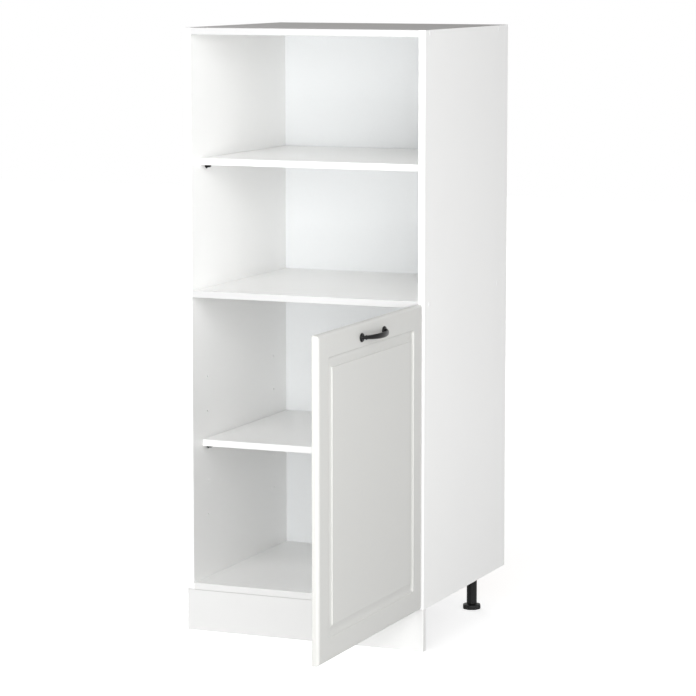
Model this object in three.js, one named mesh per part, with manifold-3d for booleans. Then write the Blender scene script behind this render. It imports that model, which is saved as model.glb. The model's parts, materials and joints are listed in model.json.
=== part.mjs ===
// Oven housing cabinet: a tall white carcass with an open oven niche, two loose shelves,
// one framed door on cup hinges, a plinth board and four levelling legs.
// Millimetres, +X to the right, +Y to the back, +Z up.
// The origin is the middle of the plinth board's lower edge. Places along Y are counted from the carcass front.

import * as THREE from "three";
import { mergeVertices } from "three/addons/utils/BufferGeometryUtils.js";
import Module from "manifold-3d";

const wasm = await Module();
wasm.setup();

// Carcass boards
const carcassWidth = 600;
const carcassDepth = 550;
const cabinetHeight = 1425;
const baseHeight = 98;
const boardThickness = 16;
const fixedShelfTop = 812;
const plinthThickness = 16;
const plinthTopGap = 0.5;

// Back panel in its grooves
const backThickness = 3;
const backRebate = 5.5;
const grooveDepth = 6;
const backEdgeGap = 0.5;

// Clearances and overruns
const contactGap = 0.3;
const runningGap = 0.1;
const cutOverrun = 1;

// Loose shelves
const shelfFrontInset = 49;
const shelfEndGap = 1;
const shelfBackGap = 2;

// Shelf supports and their rows of holes
const supportRowInset = 80;
const supportRowFromBack = 85;
const lowestPinHeight = 266;
const pinPitch = 83;
const pinHoleCount = 5;
const lowerPinIndex = 2;
const upperPinHeight = 1100;
const pinRadius = 2.4;
const pinLength = 9;
const supportReach = 11;
const supportWidth = 14;
const supportRise = 3.5;
const supportDrop = 6.5;
const supportChamfer = 2;

// Carcass screws and cover caps
const screwInset = 31;
const screwFromBack = 64;
const screwHeadRadius = 4.7;
const screwHeadDepth = 3.2;
const screwShankRadius = 3.2;
const screwThreadRadius = 2.4;
const screwThreadLength = 34;
const capRadius = 6.3;
const capThickness = 1;
const capBevel = 0.6;

// Legs
const legSideInset = 55;
const frontLegInset = 70;
const rearLegFromBack = 81;
const socketWidth = 52;
const socketThickness = 4;
const collarRadius = 16.5;
const collarHeight = 16;
const columnRadius = 12.5;
const footRadius = 22.5;
const footHeight = 12;
const footLobes = 8;
const footLobeDepth = 1.4;
const footBevel = 1.5;
const stemRadius = 5.7;
const stemLength = 42;

// Plinth clips
const clipPlateWidth = 38;
const clipPlateHeight = 36;
const clipThickness = 2.6;
const clipHeight = 18;
const clipCentreHeight = 55;
const clipNeckWidth = 12;
const clipWrapShare = 0.62;

// Door panel and its routed profile
const doorWidth = 596;
const doorThickness = 16;
const doorBottomGap = 3;
const doorTopDrop = 6;
const doorReveal = 2;
const doorFrontGap = 2;
const doorBackRound = 1;
const doorEdgeDepth = 7;
const doorEdgeWidth = 8;
const doorFrameWidth = 51;
const channelWidth = 24;
const channelDepth = 4.4;
const channelStep = 1.2;
const channelCornerRadius = 7;
const sharpCornerRadius = 0.6;

// Cup hinges
const hingeFromEnd = 100;
const pivotFromSide = 8.5;
const pivotFromFront = 12;
const cupFromEdge = 20.5;
const cupRadius = 17.3;
const cupWall = 0.8;
const cupDepth = 13;
const cupFloor = 0.7;
const cupFlangeRadius = 17.9;
const cupFlangeThickness = 1;
const cupWingLength = 62;
const cupWingWidth = 13;
const hingePinRadius = 0.9;
const hingePinLength = 16.4;
const knuckleRadius = 1.7;
const hookHeight = 8;
const hookThickness = 1.6;
const hookReach = 14.5;
const armWidth = 14;
const armThickness = 2;
const armLength = 60;
const hingePlateStart = 20;
const hingePlateLength = 36;
const hingePlateHeight = 44;

// Bow handle
const handlePitch = 128;
const handleFromTop = 31;
const handleProud = 27;
const handleBaseRadius = 10;
const handleBaseThickness = 3;
const handleBossRadius = 4.2;
const handleBossHeight = 9;
const handleNeckHalf = 2.9;
const handleBeadHalf = 4.1;
const handleGripHalf = 6.3;
const handleGripThicknessHalf = 2.7;
const handleScrewRadius = 1.9;
const handleScrewBite = 6;
const handleScrewHeadRadius = 4;
const handleScrewHeadHeight = 1.4;

// Facets
const roundSteps = 16;
const fineSteps = 32;
const cornerSteps = 3;
const profileSteps = 4;
const bowRings = 29;
const bowSteps = 10;

// Worked out from the sizes above
const innerHalfWidth = carcassWidth / 2 - boardThickness;
const grooveWidth = backThickness + 2 * contactGap;
const grooveFront = carcassDepth - backRebate - grooveWidth;
const backFront = grooveFront + contactGap;
const fixedShelfDepth = backFront - contactGap;
const supportRows = [supportRowInset, carcassDepth - supportRowFromBack];
const screwRows = [screwInset, carcassDepth - screwFromBack];
const screwedBoardTops = { top: cabinetHeight, shelf: fixedShelfTop };
const lowerPinHeight = lowestPinHeight + lowerPinIndex * pinPitch;
const pinHeights = [upperPinHeight];
for (let hole = 0; hole < pinHoleCount; hole++) {
  pinHeights.push(lowestPinHeight + hole * pinPitch);
}
const columnTop = baseHeight - socketThickness - contactGap;
const columnBottom = footHeight + contactGap;
const doorEdgeOffset = pivotFromSide - doorReveal;
const doorInnerFace = pivotFromFront - doorFrontGap;
const doorOuterFace = doorInnerFace - doorThickness;
const doorCentre = doorEdgeOffset - doorWidth / 2;
const doorBottom = baseHeight + doorBottomGap;
const doorTop = fixedShelfTop - doorTopDrop;
const doorHeight = doorTop - doorBottom;
const cupCentre = doorEdgeOffset - cupFromEdge;
const hingeHeights = { lower: doorBottom + hingeFromEnd, upper: doorTop - hingeFromEnd };
const pivotX = carcassWidth / 2 - pivotFromSide;
const openAngle = Math.PI / 2;

// Materials
function paint(colour, roughness, metalness = 0) {
  return () => new THREE.MeshStandardMaterial({ color: colour, roughness, metalness });
}

const whiteBoard = paint("#f7f7f7", 0.42);
const whiteBack = paint("#eef0f0", 0.55);
const doorFoil = paint("#e4e3de", 0.38);
const blackPlastic = paint("#191919", 0.5);
const blackMetal = paint("#121212", 0.36, 0.6);
const whitePlastic = paint("#fafafa", 0.4);
const zincSteel = paint("#b9bbbd", 0.3, 1);

// Solids: three.js geometry in, three.js geometry out
function toSolid(geometry) {
  const bare = geometry.clone();
  bare.deleteAttribute("normal");
  bare.deleteAttribute("uv");
  const merged = mergeVertices(bare);
  return new wasm.Manifold(
    new wasm.Mesh({
      numProp: 3,
      vertProperties: new Float32Array(merged.attributes.position.array),
      triVerts: new Uint32Array(merged.index.array),
    })
  );
}

function toGeometry(solid) {
  const mesh = solid.getMesh();
  const geometry = new THREE.BufferGeometry();
  geometry.setAttribute("position", new THREE.BufferAttribute(mesh.vertProperties, 3));
  geometry.setIndex(new THREE.BufferAttribute(mesh.triVerts, 1));
  const faceted = geometry.toNonIndexed();
  faceted.computeVertexNormals();
  return faceted;
}

function shaped(base, joins, cuts = []) {
  let solid = toSolid(base);
  for (const join of joins) {
    solid = solid.add(toSolid(join));
  }
  for (const cut of cuts) {
    solid = solid.subtract(toSolid(cut));
  }
  return toGeometry(solid);
}

// A block between two opposite corners, in either order
function block(from, to) {
  const size = from.map((value, axis) => Math.abs(to[axis] - value));
  const middle = from.map((value, axis) => (to[axis] + value) / 2);
  return new THREE.BoxGeometry(...size).translate(...middle);
}

// A rod whose axis runs along X, Y or Z from one place to another
function rod(axis, radius, start, end, centre, steps = roundSteps) {
  const geometry = new THREE.CylinderGeometry(radius, radius, Math.abs(end - start), steps);
  const middle = (start + end) / 2;
  if (axis === "x") {
    geometry.rotateZ(-Math.PI / 2);
    return geometry.translate(middle, centre[0], centre[1]);
  }
  if (axis === "z") {
    geometry.rotateX(Math.PI / 2);
    return geometry.translate(centre[0], centre[1], middle);
  }
  return geometry.translate(centre[0], middle, centre[1]);
}

// A closed skin over a row of rings that all have the same number of points
function loft(rings) {
  const count = rings[0].length;
  const points = rings.flat();
  const faces = [];
  for (let ring = 0; ring + 1 < rings.length; ring++) {
    for (let step = 0; step < count; step++) {
      const a = ring * count + step;
      const b = ring * count + ((step + 1) % count);
      faces.push(a, b, b + count, a, b + count, a + count);
    }
  }
  const last = (rings.length - 1) * count;
  for (let step = 1; step + 1 < count; step++) {
    faces.push(0, step + 1, step);
    faces.push(last, last + step, last + step + 1);
  }
  const geometry = new THREE.BufferGeometry().setFromPoints(points);
  geometry.setIndex(faces);
  return geometry;
}

const cabinet = new THREE.Group();
cabinet.position.set(0, -plinthThickness / 2, 0);
const door = new THREE.Group();
door.position.set(pivotX, -pivotFromFront, 0);
door.rotation.z = openAngle;
cabinet.add(door);

function piece(parent, name, geometry, material, x = 0, y = 0, z = 0) {
  const mesh = new THREE.Mesh(geometry, material());
  mesh.name = name;
  mesh.position.set(x, y, z);
  parent.add(mesh);
}

// Side panels: back groove, screw holes and the holes for the shelf supports
function sidePanel(outward) {
  const thick = outward * boardThickness;
  const cuts = [
    block(
      [-outward * cutOverrun, grooveFront, baseHeight - cutOverrun],
      [outward * grooveDepth, grooveFront + grooveWidth, cabinetHeight + cutOverrun]
    ),
  ];
  for (const y of screwRows) {
    for (const boardTop of Object.values(screwedBoardTops)) {
      const centre = [y, boardTop - boardThickness / 2];
      const headStart = outward * (boardThickness - screwHeadDepth - contactGap);
      const overrunEnd = thick + outward * cutOverrun;
      cuts.push(rod("x", screwShankRadius + contactGap, -outward * cutOverrun, overrunEnd, centre));
      cuts.push(rod("x", screwHeadRadius + contactGap, headStart, overrunEnd, centre));
    }
  }
  for (const y of supportRows) {
    for (const z of pinHeights) {
      const holeEnd = outward * (pinLength + cutOverrun);
      cuts.push(rod("x", pinRadius + contactGap, -outward * cutOverrun, holeEnd, [y, z]));
    }
  }
  return shaped(block([0, 0, baseHeight], [thick, carcassDepth, cabinetHeight]), [], cuts);
}

// Boards between the sides, with screw bores in both ends and a groove for the back where they reach past it
function crossBoard(depth, screwed, grooveSide) {
  const cuts = [];
  if (screwed) {
    for (const y of screwRows) {
      for (const side of [-1, 1]) {
        const mouth = side * (innerHalfWidth + cutOverrun);
        const end = side * (innerHalfWidth - screwThreadLength - cutOverrun);
        cuts.push(rod("x", screwThreadRadius + contactGap, mouth, end, [y, boardThickness / 2]));
      }
    }
  }
  if (grooveSide !== 0) {
    const face = grooveSide > 0 ? boardThickness : 0;
    cuts.push(
      block(
        [-innerHalfWidth - cutOverrun, grooveFront, face + grooveSide * cutOverrun],
        [innerHalfWidth + cutOverrun, grooveFront + grooveWidth, face - grooveSide * grooveDepth]
      )
    );
  }
  const board = block([-innerHalfWidth, 0, 0], [innerHalfWidth, depth, boardThickness]);
  return shaped(board, [], cuts);
}

function addCarcass() {
  piece(cabinet, "side_panel_left", sidePanel(-1), whiteBoard, -innerHalfWidth);
  piece(cabinet, "side_panel_right", sidePanel(1), whiteBoard, innerHalfWidth);
  const topZ = cabinetHeight - boardThickness;
  piece(cabinet, "top_panel", crossBoard(carcassDepth, true, -1), whiteBoard, 0, 0, topZ);
  const shelfZ = fixedShelfTop - boardThickness;
  piece(cabinet, "fixed_shelf", crossBoard(fixedShelfDepth, true, 0), whiteBoard, 0, 0, shelfZ);
  piece(cabinet, "bottom_panel", crossBoard(carcassDepth, false, 1), whiteBoard, 0, 0, baseHeight);
  const backHalf = innerHalfWidth + grooveDepth - backEdgeGap;
  const backLow = baseHeight + boardThickness - grooveDepth + backEdgeGap;
  const backHigh = cabinetHeight - boardThickness + grooveDepth - backEdgeGap;
  const back = block([-backHalf, 0, backLow], [backHalf, backThickness, backHigh]);
  piece(cabinet, "back_panel", back, whiteBack, 0, backFront);
  const halfWidth = carcassWidth / 2;
  const plinth = block([-halfWidth, 0, 0], [halfWidth, plinthThickness, baseHeight - plinthTopGap]);
  piece(cabinet, "plinth_board", plinth, whiteBoard);
}

function addShelves() {
  const halfWidth = innerHalfWidth - shelfEndGap;
  const depth = backFront - shelfBackGap - shelfFrontInset;
  const pins = { upper: upperPinHeight, lower: lowerPinHeight };
  for (const [level, pinHeight] of Object.entries(pins)) {
    const shelf = block([-halfWidth, 0, 0], [halfWidth, depth, boardThickness]);
    const z = pinHeight + supportRise;
    piece(cabinet, `${level}_shelf`, shelf, whiteBoard, 0, shelfFrontInset, z);
  }
}

// A support: a block against the side panel with a pin in the panel's hole
function shelfSupport(inward) {
  const outline = new THREE.Shape();
  outline.moveTo(0, supportRise);
  outline.lineTo(0, -supportDrop);
  outline.lineTo(supportReach - supportChamfer, -supportDrop);
  outline.lineTo(supportReach, supportChamfer - supportDrop);
  outline.lineTo(supportReach, supportRise);
  const body = new THREE.ExtrudeGeometry(outline, { depth: supportWidth, bevelEnabled: false });
  body.rotateX(Math.PI / 2).translate(0, supportWidth / 2, 0);
  if (inward < 0) {
    body.rotateZ(Math.PI);
  }
  const pin = rod("x", pinRadius, inward * cutOverrun, -inward * pinLength, [0, 0]);
  return shaped(body, [pin]);
}

function addShelfSupports() {
  const levels = { upper: upperPinHeight, lower: lowerPinHeight };
  const rows = { front: supportRows[0], rear: supportRows[1] };
  for (const [level, z] of Object.entries(levels)) {
    for (const [row, y] of Object.entries(rows)) {
      for (const [side, outward] of Object.entries({ left: -1, right: 1 })) {
        const name = `shelf_support_${level}_${side}_${row}`;
        piece(cabinet, name, shelfSupport(-outward), blackPlastic, outward * innerHalfWidth, y, z);
      }
    }
  }
}

// Screws through the sides into the ends of the top panel and the fixed shelf, each under a cap
function carcassScrew(outward) {
  const face = -outward * contactGap;
  const headEnd = face - outward * screwHeadDepth;
  const shankEnd = -outward * boardThickness;
  const threadEnd = shankEnd - outward * screwThreadLength;
  const head = rod("x", screwHeadRadius, face, headEnd, [0, 0]);
  const shank = rod("x", screwShankRadius, face - outward * contactGap, shankEnd, [0, 0]);
  const thread = rod("x", screwThreadRadius, face - outward * contactGap, threadEnd, [0, 0]);
  return shaped(head, [shank, thread]);
}

function coverCap(outward) {
  const cap = new THREE.CylinderGeometry(capRadius - capBevel, capRadius, capThickness, roundSteps);
  return cap.rotateZ((-outward * Math.PI) / 2).translate((outward * capThickness) / 2, 0, 0);
}

function addCarcassScrews() {
  const rows = { front: screwRows[0], rear: screwRows[1] };
  for (const [board, boardTop] of Object.entries(screwedBoardTops)) {
    for (const [row, y] of Object.entries(rows)) {
      for (const [side, outward] of Object.entries({ left: -1, right: 1 })) {
        const x = (outward * carcassWidth) / 2;
        const z = boardTop - boardThickness / 2;
        const place = `${board}_${side}_${row}`;
        piece(cabinet, `carcass_screw_${place}`, carcassScrew(outward), zincSteel, x, y, z);
        piece(cabinet, `cover_cap_${place}`, coverCap(outward), whitePlastic, x, y, z);
      }
    }
  }
}

// Legs: a socket under the bottom panel, a column pushed up into it and a foot on a threaded stem
function legSocket() {
  const half = socketWidth / 2;
  const plate = block([-half, -half, -socketThickness], [half, half, 0]);
  const collarEnd = -socketThickness - collarHeight;
  const collar = rod("z", collarRadius, collarEnd, -socketThickness / 2, [0, 0], fineSteps);
  const bore = rod("z", columnRadius + contactGap, collarEnd - cutOverrun, -socketThickness, [0, 0], fineSteps);
  return shaped(plate, [collar], [bore]);
}

function legColumn() {
  const column = rod("z", columnRadius, columnBottom, columnTop, [0, 0], fineSteps);
  const boreTop = footHeight + stemLength + cutOverrun;
  const bore = rod("z", stemRadius + contactGap, columnBottom - cutOverrun, boreTop, [0, 0]);
  return shaped(column, [], [bore]);
}

function legFoot() {
  const outline = new THREE.Shape();
  const steps = footLobes * cornerSteps * 2;
  for (let step = 0; step < steps; step++) {
    const angle = (step / steps) * 2 * Math.PI;
    const dip = (footLobeDepth * (1 - Math.cos(footLobes * angle))) / 2;
    const radius = footRadius - footBevel - dip;
    const point = [radius * Math.cos(angle), radius * Math.sin(angle)];
    if (step === 0) {
      outline.moveTo(...point);
    } else {
      outline.lineTo(...point);
    }
  }
  const disc = new THREE.ExtrudeGeometry(outline, {
    depth: footHeight - 2 * footBevel,
    bevelThickness: footBevel,
    bevelSize: footBevel,
    bevelSegments: 1,
  });
  disc.translate(0, 0, footBevel);
  const stem = rod("z", stemRadius, footHeight / 2, footHeight + stemLength, [0, 0]);
  return shaped(disc, [stem]);
}

function addLegs() {
  const rows = { front: frontLegInset, rear: carcassDepth - rearLegFromBack };
  for (const [row, y] of Object.entries(rows)) {
    for (const [side, outward] of Object.entries({ left: -1, right: 1 })) {
      const x = outward * (carcassWidth / 2 - legSideInset);
      piece(cabinet, `leg_socket_${side}_${row}`, legSocket(), blackPlastic, x, y, baseHeight);
      piece(cabinet, `leg_column_${side}_${row}`, legColumn(), blackPlastic, x, y);
      piece(cabinet, `leg_foot_${side}_${row}`, legFoot(), blackPlastic, x, y);
    }
  }
}

// A clip: a plate on the plinth's back and a spring ring round the front of the leg column
function plinthClip() {
  const inner = columnRadius + contactGap;
  const outer = inner + clipThickness;
  const wrap = clipWrapShare * Math.PI;
  const middle = -Math.PI / 2;
  const ring = new THREE.Shape();
  ring.absarc(0, 0, outer, middle - wrap, middle + wrap, false);
  ring.absarc(0, 0, inner, middle + wrap, middle - wrap, true);
  const clip = new THREE.ExtrudeGeometry(ring, {
    depth: clipHeight,
    bevelEnabled: false,
    curveSegments: roundSteps,
  });
  clip.translate(0, 0, clipCentreHeight - clipHeight / 2);
  const plateFront = plinthThickness + contactGap - frontLegInset;
  const halfPlate = clipPlateWidth / 2;
  const plate = block(
    [-halfPlate, plateFront, clipCentreHeight - clipPlateHeight / 2],
    [halfPlate, plateFront + clipThickness, clipCentreHeight + clipPlateHeight / 2]
  );
  const neck = block(
    [-clipNeckWidth / 2, plateFront + clipThickness / 2, clipCentreHeight - clipHeight / 2],
    [clipNeckWidth / 2, -inner - clipThickness / 2, clipCentreHeight + clipHeight / 2]
  );
  return shaped(clip, [plate, neck]);
}

function addPlinthClips() {
  for (const [side, outward] of Object.entries({ left: -1, right: 1 })) {
    const x = outward * (carcassWidth / 2 - legSideInset);
    piece(cabinet, `plinth_clip_${side}`, plinthClip(), blackPlastic, x, frontLegInset);
  }
}

// Door pieces are laid out closed, with the hinge axis at the group's origin
function doorRing(inset, y, cornerRadius) {
  const halfWidth = doorWidth / 2 - inset;
  const halfHeight = doorHeight / 2 - inset;
  const corners = [
    [1, 1, 0],
    [-1, 1, 1],
    [-1, -1, 2],
    [1, -1, 3],
  ];
  const ring = [];
  for (const [right, up, quarter] of corners) {
    for (let step = 0; step <= cornerSteps; step++) {
      const angle = ((quarter + step / cornerSteps) * Math.PI) / 2;
      const x = right * (halfWidth - cornerRadius) + cornerRadius * Math.cos(angle);
      const z = up * (halfHeight - cornerRadius) + cornerRadius * Math.sin(angle);
      ring.push(new THREE.Vector3(doorCentre + x, y, doorBottom + doorHeight / 2 + z));
    }
  }
  return ring;
}

function doorPanel() {
  const rings = [
    doorRing(doorBackRound, doorInnerFace, sharpCornerRadius),
    doorRing(0, doorInnerFace - doorBackRound, sharpCornerRadius),
  ];
  for (let step = 0; step <= profileSteps; step++) {
    const angle = ((step / profileSteps) * Math.PI) / 2;
    const inset = doorEdgeWidth * (1 - Math.cos(angle));
    const y = doorOuterFace + doorEdgeDepth * (1 - Math.sin(angle));
    rings.push(doorRing(inset, y, sharpCornerRadius));
  }
  const hollow = channelDepth - channelStep;
  rings.push(doorRing(doorFrameWidth, doorOuterFace, channelCornerRadius));
  for (let step = 0; step <= 2 * profileSteps; step++) {
    const across = step / (2 * profileSteps);
    const inset = doorFrameWidth + channelStep / 2 + across * (channelWidth - channelStep);
    const y = doorOuterFace + channelStep + hollow * Math.sin(across * Math.PI);
    const cornerRadius = channelCornerRadius * (1 - across) + sharpCornerRadius * across;
    rings.push(doorRing(inset, y, cornerRadius));
  }
  rings.push(doorRing(doorFrameWidth + channelWidth, doorOuterFace, sharpCornerRadius));

  const cuts = [];
  for (const z of Object.values(hingeHeights)) {
    const end = doorInnerFace - cupDepth - contactGap;
    const mouth = doorInnerFace + cutOverrun;
    cuts.push(rod("y", cupRadius + contactGap / 2, mouth, end, [cupCentre, z], fineSteps));
  }
  for (const x of handleHoles()) {
    const mouth = doorInnerFace + cutOverrun;
    const end = doorOuterFace - cutOverrun;
    cuts.push(rod("y", handleScrewRadius + contactGap, mouth, end, [x, handleHeight()]));
  }
  return shaped(loft(rings), [], cuts);
}

function handleHeight() {
  return doorTop - handleFromTop;
}

function handleHoles() {
  return [doorCentre - handlePitch / 2, doorCentre + handlePitch / 2];
}

// The bow: one lofted bar that rises from both feet, with a bead on each neck and a broad grip
function bowRing(curve, share) {
  const centre = curve.getPoint(share);
  const along = curve.getTangent(share);
  const outwards = new THREE.Vector3(along.y, -along.x, 0);
  const fromMiddle = Math.abs(2 * share - 1);
  const gripSwell = Math.pow(Math.cos((fromMiddle * Math.PI) / 2), 1.5);
  const beadSwell = Math.exp(-Math.pow((fromMiddle - 0.74) / 0.05, 2));
  const width =
    handleNeckHalf +
    (handleGripHalf - handleNeckHalf) * gripSwell +
    (handleBeadHalf - handleNeckHalf) * beadSwell;
  const thickness =
    handleNeckHalf +
    (handleGripThicknessHalf - handleNeckHalf) * gripSwell +
    (handleBeadHalf - handleNeckHalf) * beadSwell;
  const ring = [];
  for (let step = 0; step < bowSteps; step++) {
    const angle = (step / bowSteps) * 2 * Math.PI;
    const point = centre.clone().addScaledVector(outwards, thickness * Math.cos(angle));
    point.z -= width * Math.sin(angle);
    ring.push(point);
  }
  return ring;
}

function bowHandle() {
  const half = handlePitch / 2;
  const riseShares = [
    [-1, 0.16],
    [-0.77, 0.56],
    [-0.45, 0.86],
    [0, 1],
    [0.45, 0.86],
    [0.77, 0.56],
    [1, 0.16],
  ];
  const points = riseShares.map(
    ([across, proud]) => new THREE.Vector3(across * half, -proud * handleProud, 0)
  );
  const curve = new THREE.CatmullRomCurve3(points);
  const rings = [];
  for (let ring = 0; ring < bowRings; ring++) {
    rings.push(bowRing(curve, ring / (bowRings - 1)));
  }
  const joins = [];
  const cuts = [];
  for (const x of [-half, half]) {
    const base = new THREE.CylinderGeometry(
      handleBaseRadius,
      handleBaseRadius - handleBaseThickness / 2,
      handleBaseThickness,
      fineSteps
    );
    joins.push(base.translate(x, -handleBaseThickness / 2, 0));
    joins.push(rod("y", handleBossRadius, -handleBaseThickness / 2, -handleBossHeight, [x, 0]));
    const boreEnd = -handleScrewBite - contactGap;
    cuts.push(rod("y", handleScrewRadius + contactGap, cutOverrun, boreEnd, [x, 0]));
  }
  return shaped(loft(rings), joins, cuts);
}

function handleScrew() {
  const headTop = handleScrewHeadHeight;
  const head = rod("y", handleScrewHeadRadius, 0, headTop, [0, 0]);
  const shank = rod("y", handleScrewRadius, headTop / 2, -doorThickness - handleScrewBite, [0, 0]);
  return shaped(head, [shank]);
}

// A hinge cup sunk in the door, with a flange, two screw wings and a pin across it near the rim
function hingeCup() {
  const floor = doorInnerFace - cupDepth;
  const flangeTop = doorInnerFace + cupFlangeThickness;
  const shell = rod("y", cupRadius, floor, doorInnerFace + cupFlangeThickness / 2, [0, 0], fineSteps);
  const flange = rod("y", cupFlangeRadius, doorInnerFace, flangeTop, [0, 0], fineSteps);
  const wings = block(
    [-cupWingWidth / 2, doorInnerFace, -cupWingLength / 2],
    [cupWingWidth / 2, flangeTop, cupWingLength / 2]
  );
  const hollowFloor = floor + cupFloor;
  const hollowMouth = flangeTop + cutOverrun;
  const hollow = rod("y", cupRadius - cupWall, hollowFloor, hollowMouth, [0, 0], fineSteps);
  const pinReach = hingePinLength / 2 + contactGap;
  const pinBore = rod("z", hingePinRadius + contactGap, -pinReach, pinReach, [-cupCentre, 0]);
  return shaped(shell, [flange, wings], [hollow, pinBore]);
}

// The arm hooks round the pin inside the cup and runs back into the carcass over its mounting plate
function hingeArm() {
  const knuckle = rod("z", knuckleRadius, -hookHeight / 2, hookHeight / 2, [0, 0]);
  const hook = block(
    [-hookReach, -hookThickness / 2, -hookHeight / 2],
    [0, hookThickness / 2, hookHeight / 2]
  );
  const run = block(
    [-hookReach, -hookThickness / 2, -armWidth / 2],
    [armThickness - hookReach, pivotFromFront + armLength, armWidth / 2]
  );
  const bore = rod("z", hingePinRadius + runningGap, -hookHeight, hookHeight, [0, 0]);
  return shaped(run, [hook, knuckle], [bore]);
}

function hingePlate() {
  const armOuter = pivotX - hookReach + armThickness;
  const thickness = innerHalfWidth - armOuter - contactGap;
  const half = hingePlateHeight / 2;
  return block([-thickness, 0, -half], [0, hingePlateLength, half]);
}

function addDoor() {
  piece(door, "door_panel", doorPanel(), doorFoil);
  piece(door, "handle", bowHandle(), blackMetal, doorCentre, doorOuterFace, handleHeight());
  const [leftHole, rightHole] = handleHoles();
  const holes = { free: leftHole, hinge: rightHole };
  for (const [place, x] of Object.entries(holes)) {
    piece(door, `handle_screw_${place}`, handleScrew(), zincSteel, x, doorInnerFace, handleHeight());
  }
  for (const [level, z] of Object.entries(hingeHeights)) {
    const pinHalf = hingePinLength / 2;
    const pin = rod("z", hingePinRadius, -pinHalf, pinHalf, [0, 0]);
    piece(door, `hinge_cup_${level}`, hingeCup(), zincSteel, cupCentre, 0, z);
    piece(door, `hinge_pin_${level}`, pin, zincSteel, 0, 0, z);
    piece(cabinet, `hinge_arm_${level}`, hingeArm(), zincSteel, pivotX, -pivotFromFront, z);
    piece(cabinet, `hinge_plate_${level}`, hingePlate(), zincSteel, innerHalfWidth, hingePlateStart, z);
  }
}

addCarcass();
addShelves();
addShelfSupports();
addCarcassScrews();
addLegs();
addPlinthClips();
addDoor();

export default cabinet;
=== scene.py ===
"""Oven housing cabinet: its finished boards, door, handle, hinges and legs, and the studio round them."""

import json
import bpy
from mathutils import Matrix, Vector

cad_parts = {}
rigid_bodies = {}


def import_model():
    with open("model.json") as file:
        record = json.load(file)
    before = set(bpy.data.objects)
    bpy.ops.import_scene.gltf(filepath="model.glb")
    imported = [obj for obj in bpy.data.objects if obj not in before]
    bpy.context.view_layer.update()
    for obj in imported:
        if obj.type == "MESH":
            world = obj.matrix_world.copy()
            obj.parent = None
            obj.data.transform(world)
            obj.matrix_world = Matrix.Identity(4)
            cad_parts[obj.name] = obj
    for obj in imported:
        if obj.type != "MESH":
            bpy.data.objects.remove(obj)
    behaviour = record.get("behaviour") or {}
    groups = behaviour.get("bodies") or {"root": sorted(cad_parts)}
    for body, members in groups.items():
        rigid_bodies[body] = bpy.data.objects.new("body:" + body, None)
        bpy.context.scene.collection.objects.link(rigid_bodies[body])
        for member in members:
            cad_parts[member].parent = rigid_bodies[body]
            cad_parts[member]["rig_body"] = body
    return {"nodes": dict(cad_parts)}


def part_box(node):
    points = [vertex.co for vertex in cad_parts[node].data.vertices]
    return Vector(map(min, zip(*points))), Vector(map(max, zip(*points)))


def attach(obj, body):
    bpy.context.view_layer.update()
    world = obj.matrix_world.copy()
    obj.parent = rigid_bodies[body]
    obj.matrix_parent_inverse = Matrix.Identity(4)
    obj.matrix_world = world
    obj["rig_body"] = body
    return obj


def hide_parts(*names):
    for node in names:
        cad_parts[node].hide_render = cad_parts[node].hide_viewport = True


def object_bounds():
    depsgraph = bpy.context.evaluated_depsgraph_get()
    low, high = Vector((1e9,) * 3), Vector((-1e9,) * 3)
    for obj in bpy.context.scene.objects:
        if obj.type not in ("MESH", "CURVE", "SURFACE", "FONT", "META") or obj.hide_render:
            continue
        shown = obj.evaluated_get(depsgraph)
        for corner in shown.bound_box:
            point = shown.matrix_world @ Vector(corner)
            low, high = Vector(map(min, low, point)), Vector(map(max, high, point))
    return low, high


bl_info = {
    "name": "Oven Housing Cabinet",
    "version": (1, 0, 0),
    "blender": (4, 5, 0),
    "location": "3D View > Sidebar > Cabinet",
    "description": "Models and finishes the pieces of a tall oven housing cabinet round its CAD frame",
    "category": "Object",
}

from math import cos, exp, pi, radians, sin

import bmesh
import bpy
from bpy.props import FloatProperty, FloatVectorProperty, IntProperty, PointerProperty
from mathutils import Vector

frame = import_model()
cad_low, cad_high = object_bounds()

MM = 0.001
HAIR = 0.01 * MM
OVERRUN = MM
X, Y, Z = range(3)
SIDES = ("left", "right")
ROWS = ("front", "rear")
LEVELS = ("lower", "upper")
FEW_FACETS = 24
FACING = 0.99
SHARP = radians(50)
SMOOTH = radians(32)
CHAMFER = 1
ARRIS_SEGMENTS = 2
BAND_SEGMENTS = 3
CORNER_SEGMENTS = 5
# What a joined part keeps under the face that it ends below
COVER = MM


def srgb(text):
    """A colour written as on screen, as the linear numbers that shaders use."""
    parts = [int(text[i : i + 2], 16) / 255 for i in (1, 3, 5)]
    linear = [p / 12.92 if p <= 0.04045 else ((p + 0.055) / 1.055) ** 2.4 for p in parts]
    return (*linear, 1.0)


def shade(colour, factor):
    """The same colour, lighter or darker."""
    return (*(min(1.0, channel * factor) for channel in colour[:3]), 1.0)


def middle(node):
    low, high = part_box(node)
    return (low + high) / 2


# Settings


def length(name, description, value):
    return FloatProperty(
        name=name, description=description, default=value, min=0.0, unit="LENGTH", precision=5
    )


def count(name, description, value, least=0):
    return IntProperty(name=name, description=description, default=value, min=least)


def tint(name, description, text):
    colour = srgb(text)
    return FloatVectorProperty(
        name=name, description=description, default=colour, size=4, min=0.0, max=1.0, subtype="COLOR"
    )


def angle(name, description, degrees):
    return FloatProperty(name=name, description=description, default=radians(degrees), subtype="ANGLE")


def watts(name, where, value):
    description = f"Power of the lamp {where}"
    return FloatProperty(name=name, description=description, default=value, min=0.0, unit="POWER")


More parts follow.
